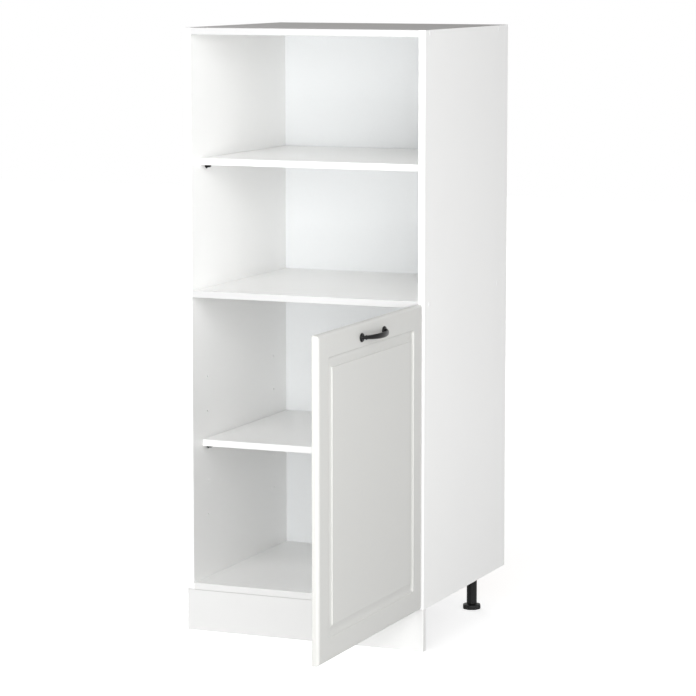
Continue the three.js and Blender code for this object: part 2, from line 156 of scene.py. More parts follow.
class BoardSettings(bpy.types.PropertyGroup):
    arris: length("Arris", "Rounding of the boards' plain edges", 0.3 * MM)
    band: length("Edge band", "Thickness of the band on a front edge, which is also its rounding", 0.8 * MM)
    fit: length("Fit", "Clearance round what sits in a groove or a bore", 0.3 * MM)
    pin_pitch: length("Hole pitch", "Distance between two holes for shelf supports", 83 * MM)
    pin_radius: length("Hole radius", "Radius of the holes for shelf supports", 2.5 * MM)
    pin_depth: length("Hole depth", "Depth of the holes for shelf supports", 10 * MM)
    spare_holes: count("Spare holes", "Holes above and below each one of the lower shelf", 2)
    face: tint("Board face", "Colour of the boards' faces", "#f8f8f7")
    edge: tint("Edge band", "Colour of the front edges of sides and loose shelves", "#fbfbfb")
    # Painted shade: the top and fixed shelf have the same edge band as the other boards, made darker as
    # their shade
    cross_edge: tint("Cross edge band", "Colour of the front edges of top and fixed shelf", "#dadada")
    # Painted shade: the plinth and the bottom panel's front edge are greyed for the weaker light on the low
    # front
    plinth: tint("Plinth", "Colour of the plinth, a shade greyer than the boards", "#ebebea")
    # Painted shade: the top's grey stands for the little light that falls on it from above
    top: tint("Top", "Colour of the top, above eye level", "#bab8b7")
    back: tint("Back panel", "Colour of the back panel's front", "#f5f7f8")
    core: tint("Board core", "Colour of bare chipboard in holes and on hidden edges", "#cdb594")
    hardboard: tint("Hardboard", "Colour of the back panel's rear", "#a98258")


class DoorSettings(bpy.types.PropertyGroup):
    frame_width: length("Frame", "Width of the plain frame round the channel", 51 * MM)
    edge_width: length("Edge width", "Width of the rounding along the door's edges", 8 * MM)
    edge_depth: length("Edge depth", "Depth of the rounding along the door's edges", 7 * MM)
    channel_width: length("Channel width", "Width of the routed channel", 24 * MM)
    channel_depth: length("Channel depth", "Depth of the routed channel", 5.2 * MM)
    channel_step: length("Channel step", "Depth of the steep step on both sides of the channel", 2 * MM)
    step_width: length("Step width", "Width of the steep step on both sides of the channel", 1.2 * MM)
    channel_corner: length("Channel corner", "Corner radius along the outside of the channel", 7 * MM)
    sharp_corner: length("Sharp corner", "Corner radius of the door and of the panel", 0.6 * MM)
    back_round: length("Back rounding", "Rounding of the edges of the door's back", 1 * MM)
    foil: tint("Foil", "Colour of the foil over the door", "#cececb")
    inside: tint("Inside", "Colour of the door's back", "#f4f4f3")


class FittingSettings(bpy.types.PropertyGroup):
    facets: count("Facets", "Sides of a round piece", 48, 12)
    plastic: tint("Black plastic", "Colour of legs, clips and shelf supports", "#0d0d0e")
    powder: tint("Black metal", "Colour of the handle", "#060606")
    cap: tint("Cover cap", "Colour of the caps over the screws", "#f7f7f7")
    nickel: tint("Nickel", "Colour of the hinges", "#c9c6be")
    zinc: tint("Zinc", "Colour of screws and pins", "#bfc1c3")


class StageSettings(bpy.types.PropertyGroup):
    lens: FloatProperty(name="Lens", description="Focal length of the camera, in millimetres", default=152.0)
    camera_place: FloatVectorProperty(
        name="Camera place",
        description="Where the camera stands",
        default=(2.699, -6.177, 1.599),
        subtype="XYZ",
    )
    camera_turn: angle("Turn", "How far the camera turns to its left", 22.75)
    camera_dip: angle("Dip", "How far the camera looks down", 7.68)
    ambient: FloatProperty(
        name="Ambient", description="Light from all round, as a share of white", default=0.3, min=0.0
    )
    key_power: watts("Key lamp", "at the front right", 62.0)
    side_power: watts("Side lamp", "at the right", 52.0)
    high_power: watts("High lamp", "high in front", 53.0)
    low_power: watts("Low lamp", "low in front", 57.0)
    left_power: watts("Left lamp", "at the left", 30.0)
    rear_power: watts("Rear lamp", "at the rear left", 85.0)
    floor_width: length("Floor", "Width of the floor", 24.0)


# Modelling


def deselect():
    bpy.ops.object.select_all(action="DESELECT")


def select(piece):
    deselect()
    piece.select_set(True)
    bpy.context.view_layer.objects.active = piece


def settled(name, material=None):
    """Names the new object, moves its place into its mesh and gives it its material."""
    piece = bpy.context.active_object
    piece.name = name
    piece.data.name = name
    bpy.ops.object.transform_apply(location=True, rotation=True, scale=True)
    if material:
        piece.data.materials.append(made_of(material))
    return piece


def lies(edge, axis, value):
    """Whether an edge lies at a value along an axis."""
    return all(abs(point.co[axis] - value) < HAIR for point in edge.verts)


def runs(edge, axis):
    """Whether an edge runs along an axis."""
    start, end = edge.verts
    return abs(start.co[axis] - end.co[axis]) > HAIR


class Editing:
    """Edit mode on one piece, with points, edges and faces picked by a test of their place or normal."""

    def __init__(self, piece):
        self.piece = piece

    def __enter__(self):
        select(self.piece)
        bpy.ops.object.mode_set(mode="EDIT")
        return self

    def __exit__(self, *error):
        bpy.ops.object.mode_set(mode="OBJECT")

    def pick(self, kind, test):
        bpy.ops.mesh.select_mode(type=kind)
        bpy.ops.mesh.select_all(action="DESELECT")
        mesh = bmesh.from_edit_mesh(self.piece.data)
        mesh.verts.index_update()
        for part in {"VERT": mesh.verts, "EDGE": mesh.edges, "FACE": mesh.faces}[kind]:
            if test(part):
                part.select_set(True)
        mesh.select_flush_mode()
        bmesh.update_edit_mesh(self.piece.data)

    def pick_stretch(self, start, end):
        """Picks the points from one number to another, with the edges between them."""
        self.pick("VERT", lambda point: start <= point.index < end)

    def pick_sharp(self, limit=SHARP):
        self.pick("EDGE", lambda edge: edge.calc_face_angle(0.0) > limit)

    def bevel(self, width, segments=ARRIS_SEGMENTS):
        bpy.ops.mesh.bevel(offset=width, segments=segments, affect="EDGES")


def block(name, low, high, material):
    """A block between two opposite corners."""
    deselect()
    low, high = Vector(low), Vector(high)
    bpy.ops.mesh.primitive_cube_add(size=1, location=(low + high) / 2, scale=high - low)
    return settled(name, material)


TURNS = {
    "x": (0, pi / 2, 0),
    "-x": (0, -pi / 2, 0),
    "y": (-pi / 2, 0, 0),
    "-y": (pi / 2, 0, 0),
    "z": (0, 0, 0),
    "-z": (pi, 0, 0),
}


def put(piece, place, direction):
    """Lays a piece that was made upright along a direction, with its foot at a place."""
    select(piece)
    piece.rotation_euler = TURNS[direction]
    piece.location = place
    bpy.ops.object.transform_apply(location=True, rotation=True, scale=True)
    return piece


def turned(name, outline, place, direction, material, facets=None):
    """A round piece, as off a lathe: the outline lists (radius, distance along) from end to end."""
    deselect()
    facets = facets or bpy.context.scene.cabinet_fittings.facets
    radius, along = outline[0]
    start = (0, 0, along)
    bpy.ops.mesh.primitive_circle_add(vertices=facets, radius=radius, fill_type="NGON", location=start)
    piece = settled(name, material)
    with Editing(piece):
        bpy.ops.mesh.select_all(action="SELECT")
        for next_radius, next_along in outline[1:]:
            move = {"value": (0, 0, next_along - along)}
            bpy.ops.mesh.extrude_region_move(TRANSFORM_OT_translate=move)
            ratio = next_radius / radius
            bpy.ops.transform.resize(value=(ratio, ratio, 1), center_override=(0, 0, next_along))
            radius, along = next_radius, next_along
        bpy.ops.mesh.select_all(action="SELECT")
        bpy.ops.mesh.normals_make_consistent(inside=False)
    return put(piece, place, direction)


def rod(radius, height, arris):
    """The outline of a rod with rounded ends."""
    return [(radius - arris, 0), (radius, arris), (radius, height - arris), (radius - arris, height)]


def drill(radius, depth, place, direction, material, facets=None):
    """A cutter for a round hole, from just outside a face to a depth."""
    return turned("hole", [(radius, -OVERRUN), (radius, depth)], place, direction, material, facets)


def lofted(name, rings, points, add_ring, material):
    """A closed skin over a row of rings. add_ring adds one open ring of so many points, and leaves it
    selected."""
    deselect()
    bpy.ops.mesh.primitive_plane_add(size=1)
    piece = settled(name, material)
    with Editing(piece) as edit:
        bpy.ops.mesh.delete(type="VERT")
        for index, ring in enumerate(rings):
            bpy.ops.mesh.select_all(action="DESELECT")
            add_ring(ring)
            if index:
                edit.pick_stretch((index - 1) * points, (index + 1) * points)
                bpy.ops.mesh.bridge_edge_loops()
        for start in (0, (len(rings) - 1) * points):
            edit.pick_stretch(start, start + points)
            bpy.ops.mesh.edge_face_add()
        bpy.ops.mesh.select_all(action="SELECT")
        bpy.ops.mesh.normals_make_consistent(inside=False)
    return piece


def soften(piece, width, segments=ARRIS_SEGMENTS):
    """Rounds every sharp edge of a piece."""
    with Editing(piece) as edit:
        edit.pick_sharp()
        edit.bevel(width, segments)


def rounded_plate(name, low, high, corner, arris, axis, material):
    """A flat plate with rounded corners, thin along one axis."""
    plate = block(name, low, high, material)
    with Editing(plate) as edit:
        edit.pick("EDGE", lambda edge: runs(edge, axis))
        edit.bevel(corner, CORNER_SEGMENTS)
        edit.pick_sharp()
        edit.bevel(arris)
    return plate


def combine(piece, operation, *tools):
    """Cuts the tools out of the piece or joins them to it. Their faces keep their own material."""
    for tool in tools:
        modifier = piece.modifiers.new(operation.title(), "BOOLEAN")
        modifier.operation = operation
        modifier.object = tool
        modifier.solver = "EXACT"
        modifier.material_mode = "TRANSFER"
        select(piece)
        bpy.ops.object.modifier_apply(modifier=modifier.name)
        bpy.data.objects.remove(tool)
    return piece


def cut(piece, *tools):
    return combine(piece, "DIFFERENCE", *tools)


def join(piece, *tools):
    return combine(piece, "UNION", *tools)


# Shares of a screw head's radius and height
HEAD_PROFILE = ((1, -0.5), (1, 0.25), (0.92, 0.6), (0.7, 0.9), (0.4, 1))
HEAD_FACETS = 32
CROSS_REACH = 0.62
CROSS_HALF = 0.13
CROSS_FLOOR = 0.35


def pan_head(place, direction, radius, height, material, name="screw"):
    """A domed screw head with a cross recess, standing on a surface."""
    outline = [(across * radius, up * height) for across, up in HEAD_PROFILE]
    head = turned(name, outline, (0, 0, 0), "z", material, HEAD_FACETS)
    for across, along in ((CROSS_REACH, CROSS_HALF), (CROSS_HALF, CROSS_REACH)):
        x, y = across * radius, along * radius
        cut(head, block("slot", (-x, -y, CROSS_FLOOR * height), (x, y, height + OVERRUN), material))
    return put(head, place, direction)


def copied(piece, name, move, turn=0.0, about=(0, 0, 0)):
    """A copy with its own mesh, turned about an upright line and then moved."""
    select(piece)
    bpy.ops.object.duplicate()
    copy = bpy.context.active_object
    if turn:
        bpy.ops.transform.rotate(value=-turn, orient_axis="Z", center_override=about)
    copy.location = copy.location + Vector(move)
    return settled(name)


def paint_faces(piece, material, test):
    """Gives another material to the faces that pass the test."""
    if piece.data.materials.find(material) < 0:
        piece.data.materials.append(made_of(material))
    slot = piece.data.materials.find(material)
    for face in piece.data.polygons:
        if test(face):
            face.material_index = slot


def smooth(piece, limit=SMOOTH):
    """Smooth shading up to an angle, with the large faces kept flat."""
    select(piece)
    bpy.ops.object.shade_smooth_by_angle(angle=limit)
    modifier = piece.modifiers.new("Weighted normals", "WEIGHTED_NORMAL")
    modifier.keep_sharp = True
    bpy.ops.object.modifier_apply(modifier=modifier.name)


def coat(node, material):
    """Gives a CAD node that stays in view its material."""
    for slot in frame["nodes"][node].material_slots:
        slot.material = made_of(material)


def install(piece, slot, *nodes):
    """Smooths a finished piece, and puts it in place of its CAD nodes, on the body that they ride on."""
    smooth(piece)
    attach(piece, frame["nodes"][nodes[0]]["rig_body"])
    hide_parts(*nodes)


def install_all(make, slot, nodes, first, turned_side=None):
    """Makes the first node's piece, and for each other node a copy of it, turned round on one side. A piece
    has its node's name without the first word."""
    master = make(first.split("_", 1)[1], first)
    for node in nodes:
        if node != first:
            turn = pi if turned_side and turned_side in node else 0.0
            move = middle(node) - middle(first)
            copy = copied(master, node.split("_", 1)[1], move, turn, middle(first))
            install(copy, slot, node)
    install(master, slot, first)


# Materials


class Signal:
    """What comes out of a node. Sums and products of signals add the Math nodes that work them out."""

    def __init__(self, finish, socket):
        self.finish = finish
        self.socket = socket

    def __add__(self, other):
        return self.finish.math("ADD", self, other)

    def __rsub__(self, other):
        return self.finish.math("SUBTRACT", other, self)

    def __mul__(self, other):
        return self.finish.math("MULTIPLY", self, other)

    __radd__ = __add__
    __rmul__ = __mul__


class Finish:
    """One node tree that is being written. Each method adds nodes and returns what comes out of them."""

    def __init__(self, owner):
        owner.use_nodes = True
        self.tree = owner.node_tree
        self.tree.nodes.clear()

    def node(self, kind, settings=None, inputs=None, output=0):
        """Adds a node of a type, with its settings first and then the values or links of its sockets."""
        made = self.tree.nodes.new(kind)
        for name, value in (settings or {}).items():
            if name == "stops":
                self.set_stops(made.color_ramp, value)
            else:
                setattr(made, name, value)
        for name, value in (inputs or {}).items():
            if isinstance(value, Signal):
                self.tree.links.new(value.socket, made.inputs[name])
            else:
                made.inputs[name].default_value = value
        return Signal(self, made.outputs[output]) if made.outputs else made

    @staticmethod
    def set_stops(ramp, stops):
        while len(ramp.elements) < len(stops):
            ramp.elements.new(1.0)
        for element, (position, colour) in zip(ramp.elements, stops):
            element.position = position
            element.color = colour

    def math(self, operation, first, second):
        return self.node("ShaderNodeMath", {"operation": operation}, {0: first, 1: second})

    def place(self, scale=(1, 1, 1)):
        """Where a point lies on the object, stretched by a scale."""
        point = self.node("ShaderNodeTexCoord", output="Object")
        if scale == (1, 1, 1):
            return point
        return self.node("ShaderNodeMapping", inputs={"Vector": point, "Scale": scale})

    def noise(self, size, detail=2.0, scale=(1, 1, 1)):
        """Soft random patches of about a size, from 0 to 1."""
        inputs = {"Vector": self.place(scale), "Scale": 1 / size, "Detail": detail}
        return self.node("ShaderNodeTexNoise", inputs=inputs)

    def cells(self, size, output="Color"):
        """Random flakes of about a size."""
        inputs = {"Vector": self.place(), "Scale": 1 / size}
        return self.node("ShaderNodeTexVoronoi", inputs=inputs, output=output)

    def mix(self, factor, first, second):
        inputs = {0: factor, 6: first, 7: second}
        return self.node("ShaderNodeMix", {"data_type": "RGBA"}, inputs, output=2)

    def blend(self, factor, colour, low, high):
        """A colour that a factor takes from one shade of it to another."""
        return self.mix(factor, shade(colour, low), shade(colour, high))

    def ramp(self, factor, colour, *stops):
        """A colour in shades along a factor: the stops list (factor, shade)."""
        stops = [(position, shade(colour, level)) for position, level in stops]
        return self.node("ShaderNodeValToRGB", {"stops": stops}, {"Fac": factor})

    def bump(self, height, depth, below=None):
        """A relief of a real depth, on top of another one if given."""
        inputs = {"Height": height, "Distance": depth, "Strength": 1.0}
        if below:
            inputs["Normal"] = below
        return self.node("ShaderNodeBump", inputs=inputs)

    def surface(self, colour, roughness, normal, specular=0.5, metallic=0.0):
        inputs = {
            "Base Color": colour,
            "Metallic": metallic,
            "Roughness": roughness,
            "Specular IOR Level": specular,
            "Normal": normal,
        }
        self.end(self.node("ShaderNodeBsdfPrincipled", inputs=inputs))

    def end(self, shader, kind="Material"):
        self.node(f"ShaderNodeOutput{kind}", inputs={"Surface": shader})


def melamine(finish, colour, roughness):
    """Printed paper pressed on chipboard: a faint pearl grain, barely uneven in colour and gloss."""
    grain = finish.noise(0.9 * MM, 3.0)
    clouds = finish.noise(160 * MM, 2.0)
    relief = finish.bump(grain, 0.012 * MM)
    finish.surface(finish.blend(clouds, colour, 0.985, 1.01), roughness + 0.07 * grain, relief, 0.42)


def edge_band(finish, colour):
    """Plastic edge band, a little smoother than the faces, with the drag marks of its pressing."""
    drag = finish.noise(1.2 * MM, 2.0, (0.08, 1, 1))
    relief = finish.bump(drag, 0.008 * MM)
    finish.surface(finish.blend(drag, colour, 0.99, 1.0), 0.34 + 0.06 * drag, relief, 0.4)


def chipboard(finish, colour):
    """Pressed wood flakes, as in drilled holes and on edges without a band."""
    flakes = finish.node("ShaderNodeRGBToBW", inputs={"Color": finish.cells(1.1 * MM)})
    dust = finish.noise(0.6 * MM, 4.0)
    clumps = finish.noise(5 * MM, 2.0)
    mixture = flakes * 0.4 + dust * 0.35 + clumps * 0.25
    shades = finish.ramp(mixture, colour, (0.25, 0.6), (0.5, 1.0), (0.75, 1.2))
    finish.surface(shades, 0.85, finish.bump(mixture, 0.12 * MM))


def top_paper(finish, colour):
    """Matt grey paper as painted shade: the top is greyed where little light falls on it from above."""
    grain = finish.noise(0.9 * MM, 3.0)
    clouds = finish.noise(90 * MM, 3.0)
    relief = finish.bump(grain, 0.015 * MM)
    finish.surface(finish.blend(clouds, colour, 0.97, 1.03), 0.78 + 0.08 * grain, relief, 0.08)


def lacquer(finish, colour):
    """Thin white lacquer over hardboard, with the fibres just showing through."""
    fibres = finish.noise(2.5 * MM, 4.0, (1, 1, 0.4))
    relief = finish.bump(fibres, 0.02 * MM)
    finish.surface(finish.blend(fibres, colour, 0.98, 1.01), 0.5 + 0.08 * fibres, relief, 0.3)


def hardboard(finish, colour):
    """Brown fibreboard with the print of the press screen."""
    fibres = finish.noise(1.4 * MM, 6.0)
    patches = finish.noise(60 * MM, 3.0)
    screen = finish.cells(1.6 * MM, "Distance")
    shades = finish.ramp(
        fibres * 0.75 + patches * 0.25, colour, (0.3, 0.76), (0.5, 1.0), (0.7, 1.16)
    )
    finish.surface(shades, 0.8, finish.bump(screen, 0.1 * MM))


def foil(finish, colour):
    """Satin foil drawn over routed fibreboard: a fine grain over a faint orange peel."""
    grain = finish.noise(0.7 * MM, 2.0)
    peel = finish.noise(5 * MM, 1.0)
    relief = finish.bump(peel, 0.02 * MM, finish.bump(grain, 0.008 * MM))
    finish.surface(finish.blend(peel, colour, 0.99, 1.01), 0.32 + 0.08 * grain, relief, 0.4)


def moulded(finish, colour, roughness, depth):
    """Moulded plastic with the fine spark-eroded grain of its mould."""
    grain = finish.noise(0.35 * MM, 2.0)
    flow = finish.noise(12 * MM, 2.0)
    relief = finish.bump(grain, depth)
    finish.surface(finish.blend(flow, colour, 0.9, 1.1), roughness + 0.1 * grain, relief, 0.25)


def powder_coat(finish, colour):
    """Powder coat on cast metal, with its small dimples."""
    dimples = finish.noise(0.6 * MM, 3.0)
    relief = finish.bump(dimples, 0.03 * MM)
    finish.surface(finish.blend(dimples, colour, 0.85, 1.15), 0.26 + 0.1 * dimples, relief, 0.2)


def plated(finish, colour, roughness):
    """Plated steel with fine rolling marks along it and a little haze."""
    marks = finish.noise(0.25 * MM, 3.0, (1, 0.05, 1))
    haze = finish.noise(9 * MM, 3.0)
    relief = finish.bump(marks, 0.006 * MM)
    uneven = roughness + 0.1 * marks + 0.06 * haze
    finish.surface(finish.blend(haze, colour, 0.92, 1.05), uneven, relief, metallic=1.0)


# How each material is written, the group and name of its colour, and its own values
MATERIALS = {
    "board_melamine": (melamine, "boards", "face", 0.3),
    # Painted shade: white melamine and edge band greyed for the low front
    "plinth_melamine": (melamine, "boards", "plinth", 0.3),
    "door_inside": (melamine, "door", "inside", 0.4),
    "edge_band": (edge_band, "boards", "edge"),
    # Painted shade: the edge band of top and fixed shelf, darkened
    "cross_edge_band": (edge_band, "boards", "cross_edge"),
    "bottom_edge_band": (edge_band, "boards", "plinth"),
    "bare_chipboard": (chipboard, "boards", "core"),
    "top_paper": (top_paper, "boards", "top"),
    # Painted shade: the grey of the cabinet's top
    "back_lacquer": (lacquer, "boards", "back"),
    "bare_hardboard": (hardboard, "boards", "hardboard"),
    "satin_foil": (foil, "door", "foil"),
    "black_moulded_plastic": (moulded, "fittings", "plastic", 0.45, 0.03 * MM),
    "white_moulded_plastic": (moulded, "fittings", "cap", 0.35, 0.01 * MM),
    "black_powder_coat": (powder_coat, "fittings", "powder"),
    "nickel_plate": (plated, "fittings", "nickel", 0.2),
    "zinc_plate": (plated, "fittings", "zinc", 0.28),
}
BLACK = "black_moulded_plastic"
NICKEL = "nickel_plate"


def made_of(name):
    """The material of that name, written the first time that it is asked for."""
    found = bpy.data.materials.get(name)
    if found:
        return found
    made = bpy.data.materials.new(name)
    write, group, colour, *values = MATERIALS[name]
    settings = getattr(bpy.context.scene, f"cabinet_{group}")
    write(Finish(made), getattr(settings, colour), *values)
    return made


# Boards

GROOVE_DEPTH = 6 * MM
SUPPORT_RISE = 3.5 * MM
SCREW_RADIUS = 3.2 * MM
SCREW_HEAD_RADIUS = 4.7 * MM
SCREW_HEAD_ROOM = 3.5 * MM
SEAM_SHARE = 1.25
BACK_ARRIS = 0.2 * MM
LACQUER_DEPTH = 0.5 * MM


def banded_board(name, node, band="edge_band"):
    """A board as its CAD node's box, with fine arrises and a rounded band on its front edge."""
    boards = bpy.context.scene.cabinet_boards
    low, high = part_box(node)
    board = block(name, low, high, "board_melamine")
    with Editing(board) as edit:
        edit.pick("EDGE", lambda edge: lies(edge, Y, low.y))
        edit.bevel(boards.band, BAND_SEGMENTS)
        edit.pick_sharp()
        edit.bevel(boards.arris)
        seam = low.y + SEAM_SHARE * boards.band
        bpy.ops.mesh.select_all(action="SELECT")
        bpy.ops.mesh.bisect(plane_co=(0, seam, 0), plane_no=(0, 1, 0))
    paint_faces(board, band, lambda face: face.center.y < seam)
    return board


def paint_shaded_top(board, node):
    """Painted shade: grey paper on the faces and arrises that end the cabinet at the top, for the light that
    does not reach them.
    """
    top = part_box(node)[1].z - bpy.context.scene.cabinet_boards.arris
    paint_faces(board, "top_paper", lambda face: face.center.z > top)


def paint_rear_edge(board, node):
    """Bare chipboard on the edge that faces the wall."""
    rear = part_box(node)[1].y - HAIR
    paint_faces(board, "bare_chipboard", lambda face: face.center.y > rear)


def back_groove(node, axis, side):
    """A cutter for the back panel's groove in the face on one side of a board."""
    fit = bpy.context.scene.cabinet_boards.fit
    low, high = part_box(node)
    back_low, back_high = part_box("back_panel")
    face = high[axis] if side > 0 else low[axis]
    low -= Vector((OVERRUN, 0, OVERRUN))
    high += Vector((OVERRUN, 0, OVERRUN))
    low.y = back_low.y - fit
    high.y = back_high.y + fit
    low[axis], high[axis] = sorted((face - side * GROOVE_DEPTH, face + side * OVERRUN))
    return block("groove", low, high, "bare_chipboard")


def support_holes(inner, direction):
    """Cutters for a side panel's two rows of holes, where the supports sit and round the lower ones."""
    boards = bpy.context.scene.cabinet_boards
    radius, depth = boards.pin_radius, boards.pin_depth
    tools = []
    for row in ROWS:
        y = middle(f"shelf_support_lower_left_{row}").y
        for level, spare in (("upper", 0), ("lower", boards.spare_holes)):
            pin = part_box(f"shelf_support_{level}_left_{row}")[1].z - SUPPORT_RISE
            for step in range(-spare, spare + 1):
                place = (inner, y, pin + step * boards.pin_pitch)
                tools.append(drill(radius, depth, place, direction, "board_melamine", FEW_FACETS))
    return tools


def screw_bores(side, inner, direction):
    """Cutters for the screws through a side panel, each with room for the head under its cap."""
    fit = bpy.context.scene.cabinet_boards.fit
    low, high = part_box("side_panel_right")
    thickness = high.x - low.x
    shank = SCREW_RADIUS + fit
    head = SCREW_HEAD_RADIUS + fit
    head_start = thickness - SCREW_HEAD_ROOM
    bore = [(shank, -OVERRUN), (shank, head_start), (head, head_start), (head, thickness + OVERRUN)]
    tools = []
    for board in ("top", "shelf"):
        for row in ROWS:
            centre = middle(f"carcass_screw_{board}_{side}_{row}")
            place = (inner, centre.y, centre.z)
            tools.append(turned("bore", bore, place, direction, "bare_chipboard", FEW_FACETS))
    return tools


class CABINET_OT_side_panels(bpy.types.Operator):
    """Side panels: banded front edges, a groove for the back, rows of holes and bores for the screws"""

    bl_idname = "cabinet.side_panels"
    bl_label = "Side Panels"

    def execute(self, context):
        for side, outward in zip(SIDES, (-1, 1)):
            node = f"side_panel_{side}"
            board = banded_board(f"side_board_{side}", node)
            low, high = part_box(node)
            inner = high.x if outward < 0 else low.x
            direction = "-x" if outward < 0 else "x"
            paint_shaded_top(board, node)
            paint_rear_edge(board, node)
            cut(board, back_groove(node, X, -outward))
            cut(board, *support_holes(inner, direction), *screw_bores(side, inner, direction))
            install(board, "white_board", node)
        return {"FINISHED"}


class CABINET_OT_cross_boards(bpy.types.Operator):
    """Top panel, fixed shelf and bottom panel between the sides"""

    bl_idname = "cabinet.cross_boards"
    bl_label = "Cross Boards"

    def execute(self, context):
        top = banded_board("top_board", "top_panel", "cross_edge_band")
        paint_shaded_top(top, "top_panel")
        paint_rear_edge(top, "top_panel")
        cut(top, back_groove("top_panel", Z, -1))
        install(top, "white_board", "top_panel")
        shelf = banded_board("fixed_shelf_board", "fixed_shelf", "cross_edge_band")
        install(shelf, "white_board", "fixed_shelf")
        # The bottom panel's front edge takes the plinth's grey as painted shade
        bottom = banded_board("bottom_board", "bottom_panel", "bottom_edge_band")
        paint_rear_edge(bottom, "bottom_panel")
        cut(bottom, back_groove("bottom_panel", Z, 1))
        install(bottom, "white_board", "bottom_panel")
        return {"FINISHED"}


class CABINET_OT_loose_shelves(bpy.types.Operator):
    """The two shelves that lie loose on their supports"""

    bl_idname = "cabinet.loose_shelves"
    bl_label = "Loose Shelves"

    def execute(self, context):
        lower = banded_board("lower_shelf_board", "lower_shelf")
        upper = copied(lower, "upper_shelf_board", middle("upper_shelf") - middle("lower_shelf"))
        install(lower, "white_board", "lower_shelf")
        install(upper, "white_board", "upper_shelf")
        return {"FINISHED"}


class CABINET_OT_plinth(bpy.types.Operator):
    """Plinth board in front of the legs"""

    bl_idname = "cabinet.plinth"
    bl_label = "Plinth"

    def execute(self, context):
        # The plinth's greyer tone is painted shade
        board = block("plinth_front", *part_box("plinth_board"), "plinth_melamine")
        soften(board, context.scene.cabinet_boards.arris)
        install(board, "white_board", "plinth_board")
        return {"FINISHED"}


class CABINET_OT_back_panel(bpy.types.Operator):
    """Back panel: lacquered in front, bare hardboard behind"""

    bl_idname = "cabinet.back_panel"
    bl_label = "Back Panel"

    def execute(self, context):
        low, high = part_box("back_panel")
        panel = block("back_sheet", low, high, "back_lacquer")
        soften(panel, BACK_ARRIS, CHAMFER)
        paint_faces(panel, "bare_hardboard", lambda face: face.center.y > low.y + LACQUER_DEPTH)
        install(panel, "back_board", "back_panel")
        return {"FINISHED"}


# Fittings of the carcass

SUPPORT_PLATE = 7.2 * MM
SUPPORT_CORNER = 3 * MM
SUPPORT_ARRIS = 0.5 * MM
SUPPORT_PIN_RADIUS = 2.4 * MM
SUPPORT_PIN_LENGTH = 9 * MM
# Inset and distance from the end
SUPPORT_PIN_TIP = ((0, 0.8 * MM), (0.6 * MM, 0))
WEDGE_REACH = 5 * MM
WEDGE_HALF = 1.5 * MM
WEDGE_SLOPE = 3 * MM
WEDGE_ARRIS = 0.4 * MM
WEDGE_SHARP = radians(30)
# Inset, and share of the rise
CAP_PROFILE = ((0, 0), (0, 0.25), (0.3 * MM, 0.6), (1.2 * MM, 0.86), (3.2 * MM, 0.97))
CAP_MIDDLE = 0.4 * MM


def shelf_support(name, node):
    """A support on a left side panel: a plate on a wedge, and a pin in the panel's hole."""
    low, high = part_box(node)
    wall = low.x + SUPPORT_PIN_LENGTH
    centre = (low + high) / 2
    plate = block(name, (wall, low.y, high.z - SUPPORT_PLATE), high, BLACK)
    with Editing(plate) as edit:
        edit.pick("EDGE", lambda edge: lies(edge, X, high.x) and runs(edge, Z))
        edit.bevel(SUPPORT_CORNER, CORNER_SEGMENTS)
        edit.pick_sharp()
        edit.bevel(SUPPORT_ARRIS)
    reach = wall + WEDGE_REACH
    wedge_low = (wall, centre.y - WEDGE_HALF, low.z)
    wedge = block("wedge", wedge_low, (reach, centre.y + WEDGE_HALF, high.z - COVER), BLACK)
    with Editing(wedge) as edit:
        edit.pick("EDGE", lambda edge: lies(edge, X, reach) and lies(edge, Z, low.z))
        edit.bevel(WEDGE_SLOPE, CHAMFER)
        edit.pick_sharp(WEDGE_SHARP)
        edit.bevel(WEDGE_ARRIS)
    outline = [(SUPPORT_PIN_RADIUS, -OVERRUN)]
    outline += [(SUPPORT_PIN_RADIUS - inset, SUPPORT_PIN_LENGTH - back) for inset, back in SUPPORT_PIN_TIP]
    place = (wall, centre.y, high.z - SUPPORT_RISE)
    return join(plate, wedge, turned("pin", outline, place, "-x", BLACK, FEW_FACETS))


class CABINET_OT_shelf_supports(bpy.types.Operator):
    """Eight plastic supports under the loose shelves"""

    bl_idname = "cabinet.shelf_supports"
    bl_label = "Shelf Supports"

    def execute(self, context):
        nodes = [
            f"shelf_support_{level}_{side}_{row}" for level in LEVELS for side in SIDES for row in ROWS
        ]
        install_all(shelf_support, "black_plastic", nodes, "shelf_support_lower_left_front", "right")
        return {"FINISHED"}


def cover_cap(name, node):
    """A thin domed cap on the right side panel."""
    low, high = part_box(node)
    radius = (high.z - low.z) / 2
    rise = high.x - low.x
    outline = [(radius - inset, share * rise) for inset, share in CAP_PROFILE]
    outline.append((CAP_MIDDLE, rise))
    centre = middle(node)
    return turned(name, outline, (low.x, centre.y, centre.z), "x", "white_moulded_plastic")


class CABINET_OT_screws_and_caps(bpy.types.Operator):
    """Zinc on the screws that hold the carcass, and the white caps over them"""

    bl_idname = "cabinet.screws_and_caps"
    bl_label = "Screws and Caps"

    def execute(self, context):
        places = [f"{board}_{side}_{row}" for board in ("top", "shelf") for side in SIDES for row in ROWS]
        for place in places:
            coat(f"carcass_screw_{place}", "zinc_plate")
        nodes = [f"cover_cap_{place}" for place in places]
        install_all(cover_cap, "white_plastic", nodes, "cover_cap_top_right_front", "left")
        return {"FINISHED"}


# Legs and plinth clips

